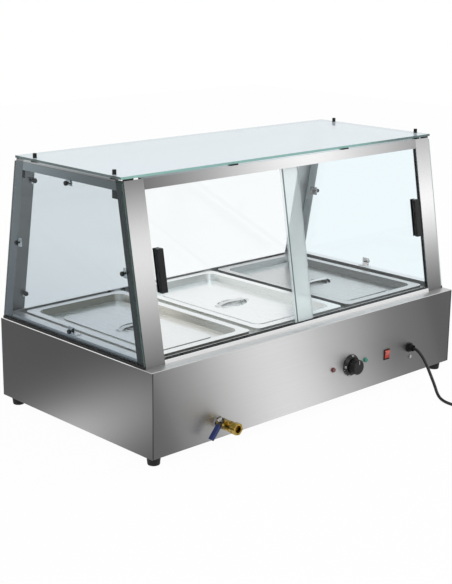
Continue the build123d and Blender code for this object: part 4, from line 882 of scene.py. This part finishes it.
def add_strokes(name, strokes, spot, width):
    """Raised bars between pairs of (across, down) points, laid on the surface that spot() describes."""
    verts = []
    faces = []
    for (x0, y0), (x1, y1) in strokes:
        run = Vector((x1 - x0, y1 - y0)).normalized() * width / 2
        wide = Vector((-run.y, run.x))
        corners = [
            (x0 - run.x + wide.x, y0 - run.y + wide.y),
            (x1 + run.x + wide.x, y1 + run.y + wide.y),
            (x1 + run.x - wide.x, y1 + run.y - wide.y),
            (x0 - run.x - wide.x, y0 - run.y - wide.y),
        ]
        count = len(corners)
        under = len(verts)
        over = under + count
        verts += [place(*spot(x, y, lift)) for lift in (-PRINT_T, PRINT_T) for x, y in corners]
        faces.append([over + i for i in range(count)])
        for i in range(count):
            j = (i + 1) % count
            faces.append([under + i, under + j, over + j, over + i])
    piece = add_mesh(name, verts, faces, moulded(name + "_paint", PRINT_COLOUR, PRINT_ROUGH))
    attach(piece, "dial")


def number_strokes(text):
    width = len(text) * DIGIT_W + (len(text) - 1) * DIGIT_GAP
    strokes = []
    for i, digit in enumerate(text):
        left = i * (DIGIT_W + DIGIT_GAP) - width / 2
        for segment in SEGMENTS[digit]:
            ends = STROKES[segment]
            strokes.append([(left + x * DIGIT_W, DIGIT_FROM + (1 - y) * DIGIT_H) for x, y in ends])
    return strokes


def add_skirt_mark(name, angle, strokes):
    add_strokes(name, strokes, lambda x, y, lift: skirt_spot(angle, x, y, lift), STROKE_W)


def add_dial_marks():
    numbers = range(FIRST_NUMBER, LAST_NUMBER + 1, NUMBER_STEP)
    turn = radians(DIAL_SWEEP) / (len(numbers) - 1)
    for i, number in enumerate(numbers):
        add_skirt_mark(f"dial_number_{number}", turn * i, number_strokes(str(number)))
    for i in range(TICKS_BETWEEN * (len(numbers) - 1) + 1):
        add_skirt_mark(f"dial_tick_{i}", turn * i / TICKS_BETWEEN, [((0, TICK_FROM), (0, TICK_TO))])
    add_strokes("dial_pointer", [((0, POINTER_FROM), (0, POINTER_TO))],
                lambda x, y, lift: (DIAL_X + x, POINTER_Y - lift, DIAL_Z + y), POINTER_W)


# Floor, background and lamps
FLOOR_HALF = 6.0
FLOOR_DROP = 0.0005
FLOOR_COLOUR = (0.85, 0.85, 0.85, 1.0)
FLOOR_ROUGH = 0.9
FLOOR_SEEN_WHITE = 0.97
WORLD_LIGHT = 0.75
LAMP_SIZE = 2.0
LAMP_AIM = (0, 0, 0.3)
LAMPS = (("key", (-1.6, -2.2, 2.8), 22.0), ("fill", (2.4, -1.2, 2.2), 12.0))


def add_floor():
    s = Shader("floor")
    base = s.principled(Base_Color=FLOOR_COLOUR, Roughness=FLOOR_ROUGH)
    glow = s.add("ShaderNodeEmission")
    material = s.done(s.blend_shaders(s.math("MULTIPLY", s.seen(), FLOOR_SEEN_WHITE), base, glow.outputs[0]))
    corners = [(-FLOOR_HALF, -FLOOR_HALF, 0), (FLOOR_HALF, -FLOOR_HALF, 0),
               (FLOOR_HALF, FLOOR_HALF, 0), (-FLOOR_HALF, FLOOR_HALF, 0)]
    floor = add_mesh("floor", corners, [(0, 1, 2, 3)], material)
    floor.location.z = -FLOOR_DROP


def add_world():
    world = bpy.data.worlds.new("studio")
    scene.world = world
    world.use_nodes = True
    s = Nodes(world.node_tree)
    background = s.tree.nodes["Background"]
    background.inputs["Color"].default_value = (*WHITE, 1.0)
    s.put(background.inputs["Strength"], s.span(s.seen(), 0.0, 1.0, WORLD_LIGHT, 1.0))


def add_lamp(name, at, watts):
    data = bpy.data.lights.new(name, "AREA")
    data.energy = watts
    data.size = LAMP_SIZE
    lamp = bpy.data.objects.new(name, data)
    lamp.location = at
    lamp.rotation_mode = "QUATERNION"
    lamp.rotation_quaternion = (Vector(LAMP_AIM) - Vector(at)).to_track_quat("-Z", "Y")
    scene.collection.objects.link(lamp)


def add_studio():
    scene.view_settings.view_transform = "Standard"
    add_floor()
    add_world()
    for name, at, watts in LAMPS:
        add_lamp(name, at, watts)


add_camera()
add_cord()
add_studio()
add_steels()
add_pans()
add_lid_rings()
add_glass()
add_small_parts()
add_dial_marks()
